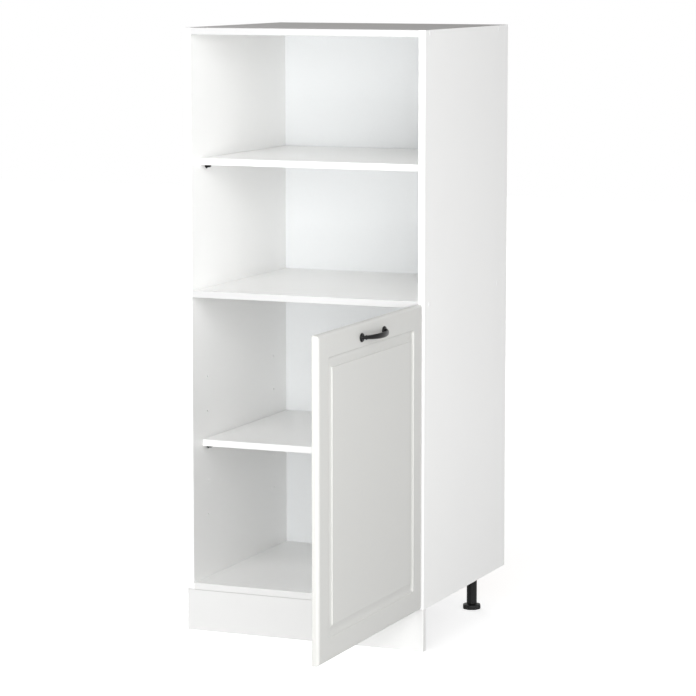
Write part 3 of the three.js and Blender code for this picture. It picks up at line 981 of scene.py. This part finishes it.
LEG_FIT = 0.3 * MM
LEG_PLATE_THICKNESS = 4 * MM
LEG_PLATE_CORNER = 6 * MM
LEG_PLATE_ARRIS = 0.8 * MM
LEG_SCREW_INSET = 7.5 * MM
LEG_SCREW = (3.4 * MM, 1.8 * MM)
RIB_HALF = 0.9 * MM
RIB_INSET = 3 * MM
RIB_RISE = 5 * MM
RIB_TAPER = 0.72
COLLAR_RADIUS = 16.5 * MM
COLLAR_HEIGHT = 16 * MM
COLLAR_ARRIS = 0.7 * MM
COLLAR_FLARE = 1.5 * MM
COLLAR_SINK = 0.5 * MM
COLUMN_ARRIS = 0.8 * MM
COLUMN_TOP_ARRIS = 1 * MM
COLUMN_WALL = 2 * MM
COLUMN_BORE_DEPTH = 45 * MM
FOOT_HEIGHT = 12 * MM
# Inset and height, in millimetres
FOOT_PROFILE = ((2.2, 0), (0.7, 0.5), (0, 2), (0, 9.4), (0.8, 11), (2.6, 12))
FOOT_LOBES = 8
FOOT_LOBE_DEPTH = 1.4 * MM
LOBE_STEPS = 12
LOBE_BAND = 4 * MM
PHASE_REACH = 0.1
STEM_RADIUS = 5.7 * MM
STEM_ROOM = 0.5 * MM
STEM_FILLET = 0.6 * MM
THREAD_START = 1.2 * MM
THREAD_PITCH = 3 * MM
THREAD_DEPTH = 0.8 * MM
# Share of the pitch, and depth under the crest
THREAD_PROFILE = ((0, THREAD_DEPTH), (0.35, 0), (0.5, 0), (0.85, THREAD_DEPTH))
CLIP_THICKNESS = 2.6 * MM
CLIP_CORNER = 4 * MM
CLIP_CORNER_SEGMENTS = 4
CLIP_ARRIS = 0.6 * MM
CLIP_HEIGHT = 18 * MM
CLIP_NECK = 12 * MM
CLIP_SCREW = (3.2 * MM, 1.8 * MM)
CLIP_SCREW_RISE = 13.5 * MM
CLIP_FACETS = 64


def leg_socket(name, node):
    """A socket under the bottom panel: a plate on screws, a collar and four ribs."""
    low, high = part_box(node)
    centre = (low + high) / 2
    half = (high.x - low.x) / 2
    foot = (centre.x, centre.y, low.z)
    plate_under = high.z - LEG_PLATE_THICKNESS
    plate = block(name, (low.x, low.y, plate_under), high, BLACK)
    with Editing(plate) as edit:
        edit.pick("EDGE", lambda edge: runs(edge, Z))
        edit.bevel(LEG_PLATE_CORNER, CORNER_SEGMENTS)
        edit.pick("EDGE", lambda edge: lies(edge, Z, plate_under))
        edit.bevel(LEG_PLATE_ARRIS)
    reach = half - RIB_INSET
    parts = []
    for half_x, half_y in ((reach, RIB_HALF), (RIB_HALF, reach)):
        rib_low = (centre.x - half_x, centre.y - half_y, low.z + RIB_RISE)
        rib = block("rib", rib_low, (centre.x + half_x, centre.y + half_y, high.z - COVER), BLACK)
        with Editing(rib) as edit:
            edit.pick("FACE", lambda face: face.normal.z < -FACING)
            taper = (RIB_TAPER, 1, 1) if half_x > half_y else (1, RIB_TAPER, 1)
            bpy.ops.transform.resize(value=taper, center_override=foot)
        parts.append(rib)
    collar = [
        (COLLAR_RADIUS - COLLAR_ARRIS, 0),
        (COLLAR_RADIUS, COLLAR_ARRIS),
        (COLLAR_RADIUS, COLLAR_HEIGHT - COLLAR_FLARE),
        (COLLAR_RADIUS + COLLAR_FLARE, COLLAR_HEIGHT + COLLAR_SINK),
    ]
    parts.append(turned("collar", collar, foot, "z", BLACK))
    reach = half - LEG_SCREW_INSET
    for across in (-reach, reach):
        for along in (-reach, reach):
            place = (centre.x + across, centre.y + along, plate_under)
            parts.append(pan_head(place, "-z", *LEG_SCREW, "zinc_plate"))
    join(plate, *parts)
    column_low, column_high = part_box(node.replace("socket", "column"))
    radius = (column_high.x - column_low.x) / 2 + LEG_FIT
    return cut(plate, drill(radius, COLLAR_HEIGHT, foot, "z", BLACK))


def leg_column(name, node):
    """A hollow column, pushed up into its socket."""
    low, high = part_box(node)
    radius = (high.x - low.x) / 2
    height = high.z - low.z
    bore = STEM_RADIUS + STEM_ROOM
    outline = [
        (radius - COLUMN_ARRIS, 0),
        (radius, COLUMN_ARRIS),
        (radius, height - COLUMN_TOP_ARRIS),
        (radius - COLUMN_TOP_ARRIS, height),
        (bore + COLUMN_WALL, height),
    ]
    centre = middle(node)
    place = (centre.x, centre.y, low.z)
    column = turned(name, outline, place, "z", BLACK)
    return cut(column, drill(bore, COLUMN_BORE_DEPTH, place, "z", BLACK))


def leg_foot(name, node):
    """A lobed foot to turn by hand, with a thread that goes up into the column."""
    low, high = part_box(node)
    centre = middle(node)
    radius = (high.x - low.x) / 2
    thread_top = high.z - low.z
    root = STEM_RADIUS - THREAD_DEPTH
    outline = [(radius - inset * MM, height * MM) for inset, height in FOOT_PROFILE]
    outline += [(STEM_RADIUS + STEM_FILLET, FOOT_HEIGHT), (root, FOOT_HEIGHT + STEM_FILLET)]
    height = FOOT_HEIGHT + THREAD_START
    while height + THREAD_PITCH < thread_top:
        for share, depth in THREAD_PROFILE:
            outline.append((STEM_RADIUS - depth, height + share * THREAD_PITCH))
        height += THREAD_PITCH
    outline.append((root - THREAD_DEPTH, thread_top))
    foot = turned(name, outline, (0, 0, 0), "z", BLACK, FOOT_LOBES * LOBE_STEPS)

    def in_phase(point, phase):
        turn = point.co.xy.angle_signed(Vector((0, 1)), 0.0)
        offset = (FOOT_LOBES * turn - phase + pi) % (2 * pi) - pi
        return abs(offset) < PHASE_REACH and point.co.xy.length > radius - LOBE_BAND

    with Editing(foot) as edit:
        for step in range(1, LOBE_STEPS):
            phase = 2 * pi * step / LOBE_STEPS
            edit.pick("VERT", lambda point: in_phase(point, phase))
            ratio = 1 - FOOT_LOBE_DEPTH * (1 - cos(phase)) / 2 / radius
            bpy.ops.transform.resize(value=(ratio, ratio, 1), center_override=(0, 0, 0))
    return put(foot, (centre.x, centre.y, low.z), "z")


class CABINET_OT_legs(bpy.types.Operator):
    """Four legs, each with a socket, a column and a lobed foot"""

    bl_idname = "cabinet.legs"
    bl_label = "Legs"

    def execute(self, context):
        makers = {"socket": leg_socket, "column": leg_column, "foot": leg_foot}
        for part, make in makers.items():
            nodes = [f"leg_{part}_{side}_{row}" for side in SIDES for row in ROWS]
            install_all(make, "black_plastic", nodes, f"leg_{part}_right_rear")
        return {"FINISHED"}


def plinth_clip(name, node):
    """A clip: a plate screwed to the plinth's back, and an open spring ring round the leg."""
    low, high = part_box(node)
    column_low, column_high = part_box(node.replace("plinth_clip", "leg_column") + "_front")
    leg = (column_low + column_high) / 2
    middle_height = (low.z + high.z) / 2
    back = low.y + CLIP_THICKNESS
    plate = block(name, low, (high.x, back, high.z), BLACK)
    with Editing(plate) as edit:
        edit.pick("EDGE", lambda edge: runs(edge, Y))
        edit.bevel(CLIP_CORNER, CLIP_CORNER_SEGMENTS)
        edit.pick("EDGE", lambda edge: lies(edge, Y, back))
        edit.bevel(CLIP_ARRIS)
    inner = (column_high.x - column_low.x) / 2 + LEG_FIT
    outer = inner + CLIP_THICKNESS
    bottom = middle_height - CLIP_HEIGHT / 2
    place = (leg.x, leg.y, bottom)
    ring = turned("ring", rod(outer, CLIP_HEIGHT, CLIP_ARRIS), place, "z", BLACK, CLIP_FACETS)
    neck_low = (leg.x - CLIP_NECK / 2, low.y + CLIP_THICKNESS / 2, bottom)
    neck_high = (leg.x + CLIP_NECK / 2, leg.y - inner - CLIP_THICKNESS / 2, bottom + CLIP_HEIGHT)
    neck = block("neck", neck_low, neck_high, BLACK)
    heads = [
        pan_head((leg.x, back, middle_height + rise), "y", *CLIP_SCREW, "zinc_plate")
        for rise in (-CLIP_SCREW_RISE, CLIP_SCREW_RISE)
    ]
    join(plate, ring, neck, *heads)
    hole = drill(inner, CLIP_HEIGHT + OVERRUN, place, "z", BLACK, CLIP_FACETS)
    reach = outer + OVERRUN
    mouth_low = (leg.x - reach, high.y, bottom - OVERRUN)
    mouth_high = (leg.x + reach, leg.y + reach, bottom + CLIP_HEIGHT + OVERRUN)
    return cut(plate, hole, block("mouth", mouth_low, mouth_high, BLACK))


class CABINET_OT_plinth_clips(bpy.types.Operator):
    """Two clips that hold the plinth to the front legs"""

    bl_idname = "cabinet.plinth_clips"
    bl_label = "Plinth Clips"

    def execute(self, context):
        nodes = [f"plinth_clip_{side}" for side in SIDES]
        install_all(plinth_clip, "black_plastic", nodes, "plinth_clip_right")
        return {"FINISHED"}


# Door

BACK_STEPS = 3
ARC_STEPS = 8
COVE_STEPS = 16
CORNER_STEPS = 4
COVE_SKEW = 0.68
STEP_SHARES = (0, 0.25, 0.5, 0.75)
RING_POINTS = 4 * (CORNER_STEPS + 1)
RING_GAP = 1 * MM
SCREW_BORE_RADIUS = 2.2 * MM
CUP_RADIUS = 17.3 * MM
CUP_FIT = 0.15 * MM
CUP_BORE_ROOM = 0.3 * MM


def door_rings():
    """The door's section from its back to its panel, as rings of (inset, place along X, corner radius)."""
    door = bpy.context.scene.cabinet_door
    low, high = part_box("door_panel")
    rings = []
    for step in range(BACK_STEPS + 1):
        turn = step / BACK_STEPS * pi / 2
        inset = door.back_round * (1 - sin(turn))
        rings.append((inset, low.x + door.back_round * (1 - cos(turn)), door.sharp_corner))
    for step in range(ARC_STEPS + 1):
        turn = step / ARC_STEPS * pi / 2
        inset = door.edge_width * (1 - cos(turn))
        rings.append((inset, high.x - door.edge_depth * (1 - sin(turn)), door.sharp_corner))
    end = door.frame_width + door.channel_width
    hollow = door.channel_depth - door.channel_step
    cove_width = door.channel_width - 2 * door.step_width

    def step_down(share):
        return door.channel_step * (1 - cos(share * pi)) / 2

    for share in STEP_SHARES:
        inset = door.frame_width + share * door.step_width
        rings.append((inset, high.x - step_down(share), door.channel_corner))
    for step in range(COVE_STEPS + 1):
        share = step / COVE_STEPS
        inset = door.frame_width + door.step_width + share * cove_width
        corner = door.channel_corner * (1 - share) + door.sharp_corner * share
        deep = hollow * sin(share**COVE_SKEW * pi)
        rings.append((inset, high.x - door.channel_step - deep, corner))
    for share in reversed(STEP_SHARES):
        rings.append((end - share * door.step_width, high.x - step_down(share), door.sharp_corner))
    return rings


def add_door_ring(numbered_ring):
    """One ring, a gap further along than the one before it."""
    index, (inset, along, corner) = numbered_ring
    low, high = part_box("door_panel")
    centre = (low.x + index * RING_GAP, (low.y + high.y) / 2, (low.z + high.z) / 2)
    size = high - low
    stretch = (1, size.y - 2 * inset, size.z - 2 * inset)
    bpy.ops.mesh.primitive_plane_add(size=1, location=centre, rotation=(0, pi / 2, 0))
    bpy.ops.transform.resize(value=stretch, center_override=centre)
    bpy.ops.mesh.bevel(offset=corner, segments=CORNER_STEPS, affect="VERTICES")
    bpy.ops.mesh.delete(type="ONLY_FACE")


def door_skin():
    """The door's closed skin. Its rings are joined a gap apart, as bridging two rings in one plane can
    twist them, and then slid to their places."""
    rings = door_rings()
    skin = lofted("door_board", list(enumerate(rings)), RING_POINTS, add_door_ring, "satin_foil")
    with Editing(skin) as edit:
        for index, (_, along, _) in enumerate(rings):
            edit.pick_stretch(index * RING_POINTS, (index + 1) * RING_POINTS)
            bpy.ops.transform.resize(value=(0, 1, 1), center_override=(along, 0, 0))
    return skin


class CABINET_OT_door(bpy.types.Operator):
    """Door: a foiled board with rounded edges and a routed channel, bored for hinges and handle"""

    bl_idname = "cabinet.door"
    bl_label = "Door"

    def execute(self, context):
        low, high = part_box("door_panel")
        board = door_skin()
        paint_faces(board, "door_inside", lambda face: face.normal.x < -FACING)
        tools = []
        for level in LEVELS:
            centre = middle(f"hinge_cup_{level}")
            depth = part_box(f"hinge_cup_{level}")[1].x - low.x + CUP_BORE_ROOM
            place = (low.x, centre.y, centre.z)
            tools.append(drill(CUP_RADIUS + CUP_FIT, depth, place, "x", "bare_chipboard"))
        for end in ("free", "hinge"):
            centre = middle(f"handle_screw_{end}")
            place = (low.x, centre.y, centre.z)
            depth = high.x - low.x + OVERRUN
            tools.append(drill(SCREW_BORE_RADIUS, depth, place, "x", "bare_chipboard", FEW_FACETS))
        cut(board, *tools)
        install(board, "door_foil", "door_panel")
        return {"FINISHED"}


# Handle

BOW_RINGS = 57
BOW_POINTS = 24
BOW_FOOT_SHARE = 0.16
BOW_CURVE = 1.63
NUDGE = 0.01
NECK_HALF = 2.9 * MM
BEAD_HALF = 4.3 * MM
BEAD_SHARE = 0.74
BEAD_LENGTH = 0.045
GRIP_HALF_WIDTH = 6.3 * MM
GRIP_HALF_THICKNESS = 2.7 * MM
GRIP_CURVE = 1.5
BASE_RADIUS = 10 * MM
# Radius and height, in millimetres: the rim, and the collar in the dish
RIM_PROFILE = ((9.4, 0), (10, 0.6), (10, 2.2), (9.4, 3.4), (8.3, 4.2), (7.1, 4.3))
DISH_PROFILE = ((6, 3.7), (4.9, 3.5), (4.3, 4.1), (4, 5), (3.6, 7), (2.4, 8.4))
SHANK_RADIUS = 1.9 * MM
SHANK_TIP_RADIUS = 1.2 * MM
SHANK_TIP = 1 * MM


def bow_point(turn):
    """Centre of the handle's bow at an angle from -90 to 90 degrees."""
    low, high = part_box("handle")
    half_pitch = (high.y - low.y) / 2 - BASE_RADIUS
    proud = high.x - low.x - GRIP_HALF_THICKNESS
    rise = BOW_FOOT_SHARE + (1 - BOW_FOOT_SHARE) * max(cos(turn), 0.0) ** BOW_CURVE
    across = (low.y + high.y) / 2 + half_pitch * sin(turn)
    return Vector((low.x + proud * rise, across, (low.z + high.z) / 2))


def add_bow_ring(turn):
    """One oval ring square to the bow."""
    centre = bow_point(turn)
    along = bow_point(min(turn + NUDGE, pi / 2)) - bow_point(max(turn - NUDGE, -pi / 2))
    heading = along.normalized().xy.angle_signed(Vector((0, 1)))
    grip = max(cos(turn), 0.0) ** GRIP_CURVE
    bead = (BEAD_HALF - NECK_HALF) * exp(-(((abs(2 * turn / pi) - BEAD_SHARE) / BEAD_LENGTH) ** 2))
    width = NECK_HALF + (GRIP_HALF_WIDTH - NECK_HALF) * grip + bead
    thickness = NECK_HALF + (GRIP_HALF_THICKNESS - NECK_HALF) * grip + bead
    bpy.ops.mesh.primitive_circle_add(
        vertices=BOW_POINTS, radius=thickness, location=centre, rotation=(pi / 2, 0, heading)
    )
    bpy.ops.transform.resize(value=(1, 1, width / thickness), center_override=centre)


def handle_screw(name, node):
    """A screw through the door: its head on the door's back, its shank up to the handle."""
    low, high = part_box(node)
    door_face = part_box("door_panel")[0].x
    centre = middle(node)
    place = (door_face, centre.y, centre.z)
    reach = high.x - door_face
    head = pan_head(place, "-x", (high.z - low.z) / 2, door_face - low.x, "zinc_plate", name)
    shank = [(SHANK_RADIUS, 0), (SHANK_RADIUS, reach - SHANK_TIP), (SHANK_TIP_RADIUS, reach)]
    return join(head, turned("shank", shank, place, "x", "zinc_plate", FEW_FACETS))


class CABINET_OT_handle(bpy.types.Operator):
    """Bow handle on two dished bases, with the screws that hold it"""

    bl_idname = "cabinet.handle"
    bl_label = "Handle"

    def execute(self, context):
        door_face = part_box("handle")[0].x
        turns = [(step / (BOW_RINGS - 1) - 0.5) * pi for step in range(BOW_RINGS)]
        bow = lofted("bow_handle", turns, BOW_POINTS, add_bow_ring, "black_powder_coat")
        base = [(radius * MM, height * MM) for radius, height in RIM_PROFILE + DISH_PROFILE]
        screws = ("handle_screw_free", "handle_screw_hinge")
        for screw in screws:
            centre = middle(screw)
            join(bow, turned("base", base, (door_face, centre.y, centre.z), "x", "black_powder_coat"))
        install(bow, "black_metal", "handle")
        install_all(handle_screw, "zinc_steel", screws, "handle_screw_free")
        return {"FINISHED"}


# Hinges

CUP_WALL = 0.8 * MM
CUP_FLOOR = 0.7 * MM
CUP_ROUND = 1.2 * MM
CUP_FLANGE = 1 * MM
CUP_RIM = 0.3 * MM
CUP_LIP = 0.7 * MM
CUP_LIP_DEPTH = 0.5 * MM
CUP_LIP_RISE = 0.2 * MM
CUP_WING_WIDTH = 13 * MM
CUP_WING_CORNER = 4 * MM
CUP_SCREW = (3.6 * MM, 1.4 * MM)
CUP_SCREW_RISE = 24 * MM
CUP_FACETS = 64
PIN_ARRIS = 0.25 * MM
PIN_BORE = 1 * MM
KNUCKLE_RADIUS = 1.7 * MM
KNUCKLE_FACETS = 32
HOOK_THICKNESS = 1.6 * MM
HOOK_HEIGHT = 8 * MM
HOOK_INSET = 0.2 * MM
HOOK_ARRIS = 0.25 * MM
ARM_THICKNESS = 2 * MM
ARM_CORNER = 2.5 * MM
ARM_ARRIS = 0.4 * MM
SLOT_START = 2 * MM
SLOT_END = 13 * MM
SLOT_HALF_WIDTH = 2.2 * MM
SLOT_CORNER = 2 * MM
# Place along the arm, and radius
ARM_SCREWS = ((20 * MM, 3.2 * MM), (38 * MM, 4 * MM))
ARM_SCREW_HEIGHT = 1.8 * MM
WING_THICKNESS = 1.8 * MM
WING_CORNER = 6 * MM
WING_ARRIS = 0.4 * MM
RAISED_HALF = 8 * MM
RAISED_CORNER = 2 * MM
RAISED_ARRIS = 0.5 * MM
RAISED_SINK = 0.5 * MM
WING_SCREW = (3.8 * MM, 1.9 * MM)
WING_SCREW_RISE = 15.5 * MM


def hinge_cup(name, node):
    """A cup sunk in the door's back, with two wings on screws."""
    low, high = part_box(node)
    centre = (low + high) / 2
    depth = high.x - low.x
    flange_radius = (high.y - low.y) / 2
    door_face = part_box("door_panel")[0].x
    wing_low = (low.x, centre.y - CUP_WING_WIDTH / 2, low.z)
    wing_high = (door_face, centre.y + CUP_WING_WIDTH / 2, high.z)
    wings = rounded_plate(name, wing_low, wing_high, CUP_WING_CORNER, CUP_RIM, X, NICKEL)
    body = [
        (CUP_RADIUS - CUP_ROUND, 0),
        (CUP_RADIUS, CUP_ROUND),
        (CUP_RADIUS, depth - CUP_FLANGE),
        (flange_radius, depth - CUP_FLANGE),
        (flange_radius, depth - CUP_RIM),
        (flange_radius - CUP_RIM, depth),
    ]
    place = (high.x, centre.y, centre.z)
    join(wings, turned("body", body, place, "-x", NICKEL, CUP_FACETS))
    radius = CUP_RADIUS - CUP_WALL
    hollow = [
        (radius - CUP_ROUND, CUP_FLOOR),
        (radius, CUP_FLOOR + CUP_ROUND),
        (radius, depth - CUP_LIP_DEPTH),
        (radius + CUP_LIP, depth + CUP_LIP_RISE),
        (radius + CUP_LIP, depth + OVERRUN),
    ]
    cut(wings, turned("hollow", hollow, place, "-x", NICKEL, CUP_FACETS))
    for rise in (-CUP_SCREW_RISE, CUP_SCREW_RISE):
        join(wings, pan_head((low.x, centre.y, centre.z + rise), "-x", *CUP_SCREW, NICKEL))
    return wings


def hinge_pin(name, node):
    low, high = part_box(node)
    centre = middle(node)
    outline = rod((high.x - low.x) / 2, high.z - low.z, PIN_ARRIS)
    return turned(name, outline, (centre.x, centre.y, low.z), "z", "zinc_plate", FEW_FACETS)


def hinge_arm(name, node):
    """An arm that hooks round the pin and runs back over its plate, with its two setting screws."""
    low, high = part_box(node)
    pin = middle(node.replace("arm", "pin"))
    face = low.x + ARM_THICKNESS
    arm = rounded_plate(name, low, (face, high.y, high.z), ARM_CORNER, ARM_ARRIS, X, NICKEL)
    hook_low = (low.x + HOOK_INSET, pin.y - HOOK_THICKNESS / 2, pin.z - HOOK_HEIGHT / 2)
    hook_high = (pin.x, pin.y + HOOK_THICKNESS / 2, pin.z + HOOK_HEIGHT / 2)
    hook = block("hook", hook_low, hook_high, NICKEL)
    soften(hook, HOOK_ARRIS)
    place = (pin.x, pin.y, pin.z - HOOK_HEIGHT / 2)
    outline = [(KNUCKLE_RADIUS, 0), (KNUCKLE_RADIUS, HOOK_HEIGHT)]
    join(arm, hook, turned("knuckle", outline, place, "z", NICKEL, KNUCKLE_FACETS))
    cut(arm, drill(PIN_BORE, HOOK_HEIGHT + OVERRUN, place, "z", NICKEL, FEW_FACETS))
    slot_low = (low.x - OVERRUN, SLOT_START, pin.z - SLOT_HALF_WIDTH)
    slot_high = (face + OVERRUN, SLOT_END, pin.z + SLOT_HALF_WIDTH)
    cut(arm, rounded_plate("slot", slot_low, slot_high, SLOT_CORNER, HAIR, X, NICKEL))
    for along, radius in ARM_SCREWS:
        join(arm, pan_head((low.x, along, pin.z), "-x", radius, ARM_SCREW_HEIGHT, NICKEL))
    return arm


def hinge_plate(name, node):
    """A mounting plate: thin wings on screws beside a raised middle."""
    low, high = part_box(node)
    centre = (low + high) / 2
    wing_face = high.x - WING_THICKNESS
    wing_low = (wing_face, low.y, low.z)
    wing = rounded_plate(name, wing_low, high, WING_CORNER, WING_ARRIS, X, NICKEL)
    raised_low = (low.x, low.y, centre.z - RAISED_HALF)
    raised_high = (high.x - RAISED_SINK, high.y, centre.z + RAISED_HALF)
    raised = rounded_plate("raised", raised_low, raised_high, RAISED_CORNER, RAISED_ARRIS, X, NICKEL)
    join(wing, raised)
    for rise in (-WING_SCREW_RISE, WING_SCREW_RISE):
        join(wing, pan_head((wing_face, centre.y, centre.z + rise), "-x", *WING_SCREW, NICKEL))
    return wing


class CABINET_OT_hinges(bpy.types.Operator):
    """Two cup hinges: cup, pin, arm and mounting plate"""

    bl_idname = "cabinet.hinges"
    bl_label = "Hinges"

    def execute(self, context):
        makers = {"cup": hinge_cup, "pin": hinge_pin, "arm": hinge_arm, "plate": hinge_plate}
        for part, make in makers.items():
            slot = "zinc_steel" if part == "pin" else "nickel_steel"
            nodes = [f"hinge_{part}_{level}" for level in LEVELS]
            install_all(make, slot, nodes, nodes[0])
        return {"FINISHED"}


# Stage

WHITE = (1, 1, 1, 1)
FLOOR_SPECKLE = 4 * MM
FLOOR_TONES = ("#b2b2b2", "#b8b8b8")
FLOOR_SHADOW = "#bcbcbc"
FLOOR_GLOW = 0.68
FADE_START = 1.0
FADE_END = 3.5
VIEW_REACH = 4
# Place and size of each lamp
LAMPS = {
    "key": ((2.2, -3.3, 1.8), 2.0),
    "side": ((4.0, -1.5, 1.5), 2.2),
    "high": ((0.0, -3.0, 3.4), 2.0),
    "low": ((0.8, -3.6, 0.6), 1.4),
    "left": ((-4.0, -0.6, 1.5), 2.2),
    "rear": ((-3.0, 3.4, 1.8), 2.2),
}


def seen_directly(finish):
    """One for what the camera sees, straight, in a gloss or through glass, and zero for spread light."""
    camera, glossy, through = (
        finish.node("ShaderNodeLightPath", output=name)
        for name in ("Is Camera Ray", "Is Glossy Ray", "Is Transmission Ray")
    )
    return finish.math("MAXIMUM", finish.math("MAXIMUM", camera, glossy), through)


def studio_world(settings):
    """White behind the object and in its gloss, and softer light on the object from all round."""
    world = bpy.data.worlds.new("studio")
    finish = Finish(world)
    seen = seen_directly(finish)
    strength = seen + settings.ambient * (1 - seen)
    finish.end(finish.node("ShaderNodeBackground", inputs={"Color": WHITE, "Strength": strength}), "World")
    bpy.context.scene.world = world


def studio_floor(settings):
    """A pale floor that the camera sees as white, with the object's shadow on it."""
    made = bpy.data.materials.new("pale_floor")
    finish = Finish(made)
    pale = finish.mix(finish.noise(FLOOR_SPECKLE), *map(srgb, FLOOR_TONES))
    floor = finish.node("ShaderNodeBsdfDiffuse", inputs={"Color": pale})
    away = finish.node("ShaderNodeVectorMath", {"operation": "LENGTH"}, {0: finish.place()}, "Value")
    stretch = {"From Min": FADE_START, "From Max": FADE_END, "To Min": FLOOR_GLOW, "To Max": 1.0}
    smoothly = {"interpolation_type": "SMOOTHSTEP"}
    fade = finish.node("ShaderNodeMapRange", smoothly, {"Value": away, **stretch})
    glow = finish.node("ShaderNodeEmission", inputs={"Color": WHITE, "Strength": fade})
    shadow = finish.node("ShaderNodeBsdfDiffuse", inputs={"Color": srgb(FLOOR_SHADOW)})
    seen = finish.node("ShaderNodeAddShader", inputs={0: glow, 1: shadow})
    finish.end(finish.node("ShaderNodeMixShader", inputs={0: seen_directly(finish), 1: floor, 2: seen}))
    deselect()
    bpy.ops.mesh.primitive_plane_add(size=settings.floor_width)
    floor = settled("floor")
    floor.data.materials.append(made)


def lamp(name, place, target, size, power):
    """A square soft lamp that faces a target."""
    deselect()
    bpy.ops.object.light_add(type="AREA", location=place)
    made = bpy.context.active_object
    made.name = name
    made.data.name = name
    made.data.shape = "SQUARE"
    made.data.size = size
    made.data.energy = power
    made.rotation_euler = (Vector(target) - Vector(place)).to_track_quat("-Z", "Y").to_euler()


def studio_camera(settings):
    deselect()
    aim = (pi / 2 - settings.camera_dip, 0, settings.camera_turn)
    bpy.ops.object.camera_add(location=settings.camera_place, rotation=aim)
    camera = bpy.context.active_object
    camera.name = "camera"
    camera.data.lens = settings.lens
    camera.data.clip_end = VIEW_REACH * settings.floor_width
    bpy.context.scene.camera = camera


class CABINET_OT_stage(bpy.types.Operator):
    """Floor, world, lamps and camera"""

    bl_idname = "cabinet.stage"
    bl_label = "Stage"

    def execute(self, context):
        settings = context.scene.cabinet_stage
        studio_world(settings)
        studio_floor(settings)
        centre = (cad_low + cad_high) / 2
        for name, (place, size) in LAMPS.items():
            lamp(f"{name}_lamp", place, centre, size, getattr(settings, f"{name}_power"))
        studio_camera(settings)
        context.scene.view_settings.view_transform = "Standard"
        return {"FINISHED"}


OPERATORS = (
    CABINET_OT_side_panels,
    CABINET_OT_cross_boards,
    CABINET_OT_loose_shelves,
    CABINET_OT_plinth,
    CABINET_OT_back_panel,
    CABINET_OT_shelf_supports,
    CABINET_OT_screws_and_caps,
    CABINET_OT_legs,
    CABINET_OT_plinth_clips,
    CABINET_OT_door,
    CABINET_OT_handle,
    CABINET_OT_hinges,
    CABINET_OT_stage,
)


class CABINET_PT_pieces(bpy.types.Panel):
    """Buttons for the pieces of the cabinet, in the order in which they are made"""

    bl_idname = "CABINET_PT_pieces"
    bl_label = "Oven Housing Cabinet"
    bl_space_type = "VIEW_3D"
    bl_region_type = "UI"
    bl_category = "Cabinet"

    def draw(self, context):
        for operator in OPERATORS:
            self.layout.operator(operator.bl_idname)


SETTINGS = {
    "cabinet_boards": BoardSettings,
    "cabinet_door": DoorSettings,
    "cabinet_fittings": FittingSettings,
    "cabinet_stage": StageSettings,
}


def register():
    for made in (*SETTINGS.values(), *OPERATORS, CABINET_PT_pieces):
        bpy.utils.register_class(made)
    for name, group in SETTINGS.items():
        setattr(bpy.types.Scene, name, PointerProperty(type=group))


def unregister():
    for name in SETTINGS:
        delattr(bpy.types.Scene, name)
    for made in reversed((*SETTINGS.values(), *OPERATORS, CABINET_PT_pieces)):
        bpy.utils.unregister_class(made)


def main():
    register()
    bpy.ops.cabinet.side_panels()
    bpy.ops.cabinet.cross_boards()
    bpy.ops.cabinet.loose_shelves()
    bpy.ops.cabinet.plinth()
    bpy.ops.cabinet.back_panel()
    bpy.ops.cabinet.shelf_supports()
    bpy.ops.cabinet.screws_and_caps()
    bpy.ops.cabinet.legs()
    bpy.ops.cabinet.plinth_clips()
    bpy.ops.cabinet.door()
    bpy.ops.cabinet.handle()
    bpy.ops.cabinet.hinges()
    bpy.ops.cabinet.stage()


if __name__ == "__main__":
    main()
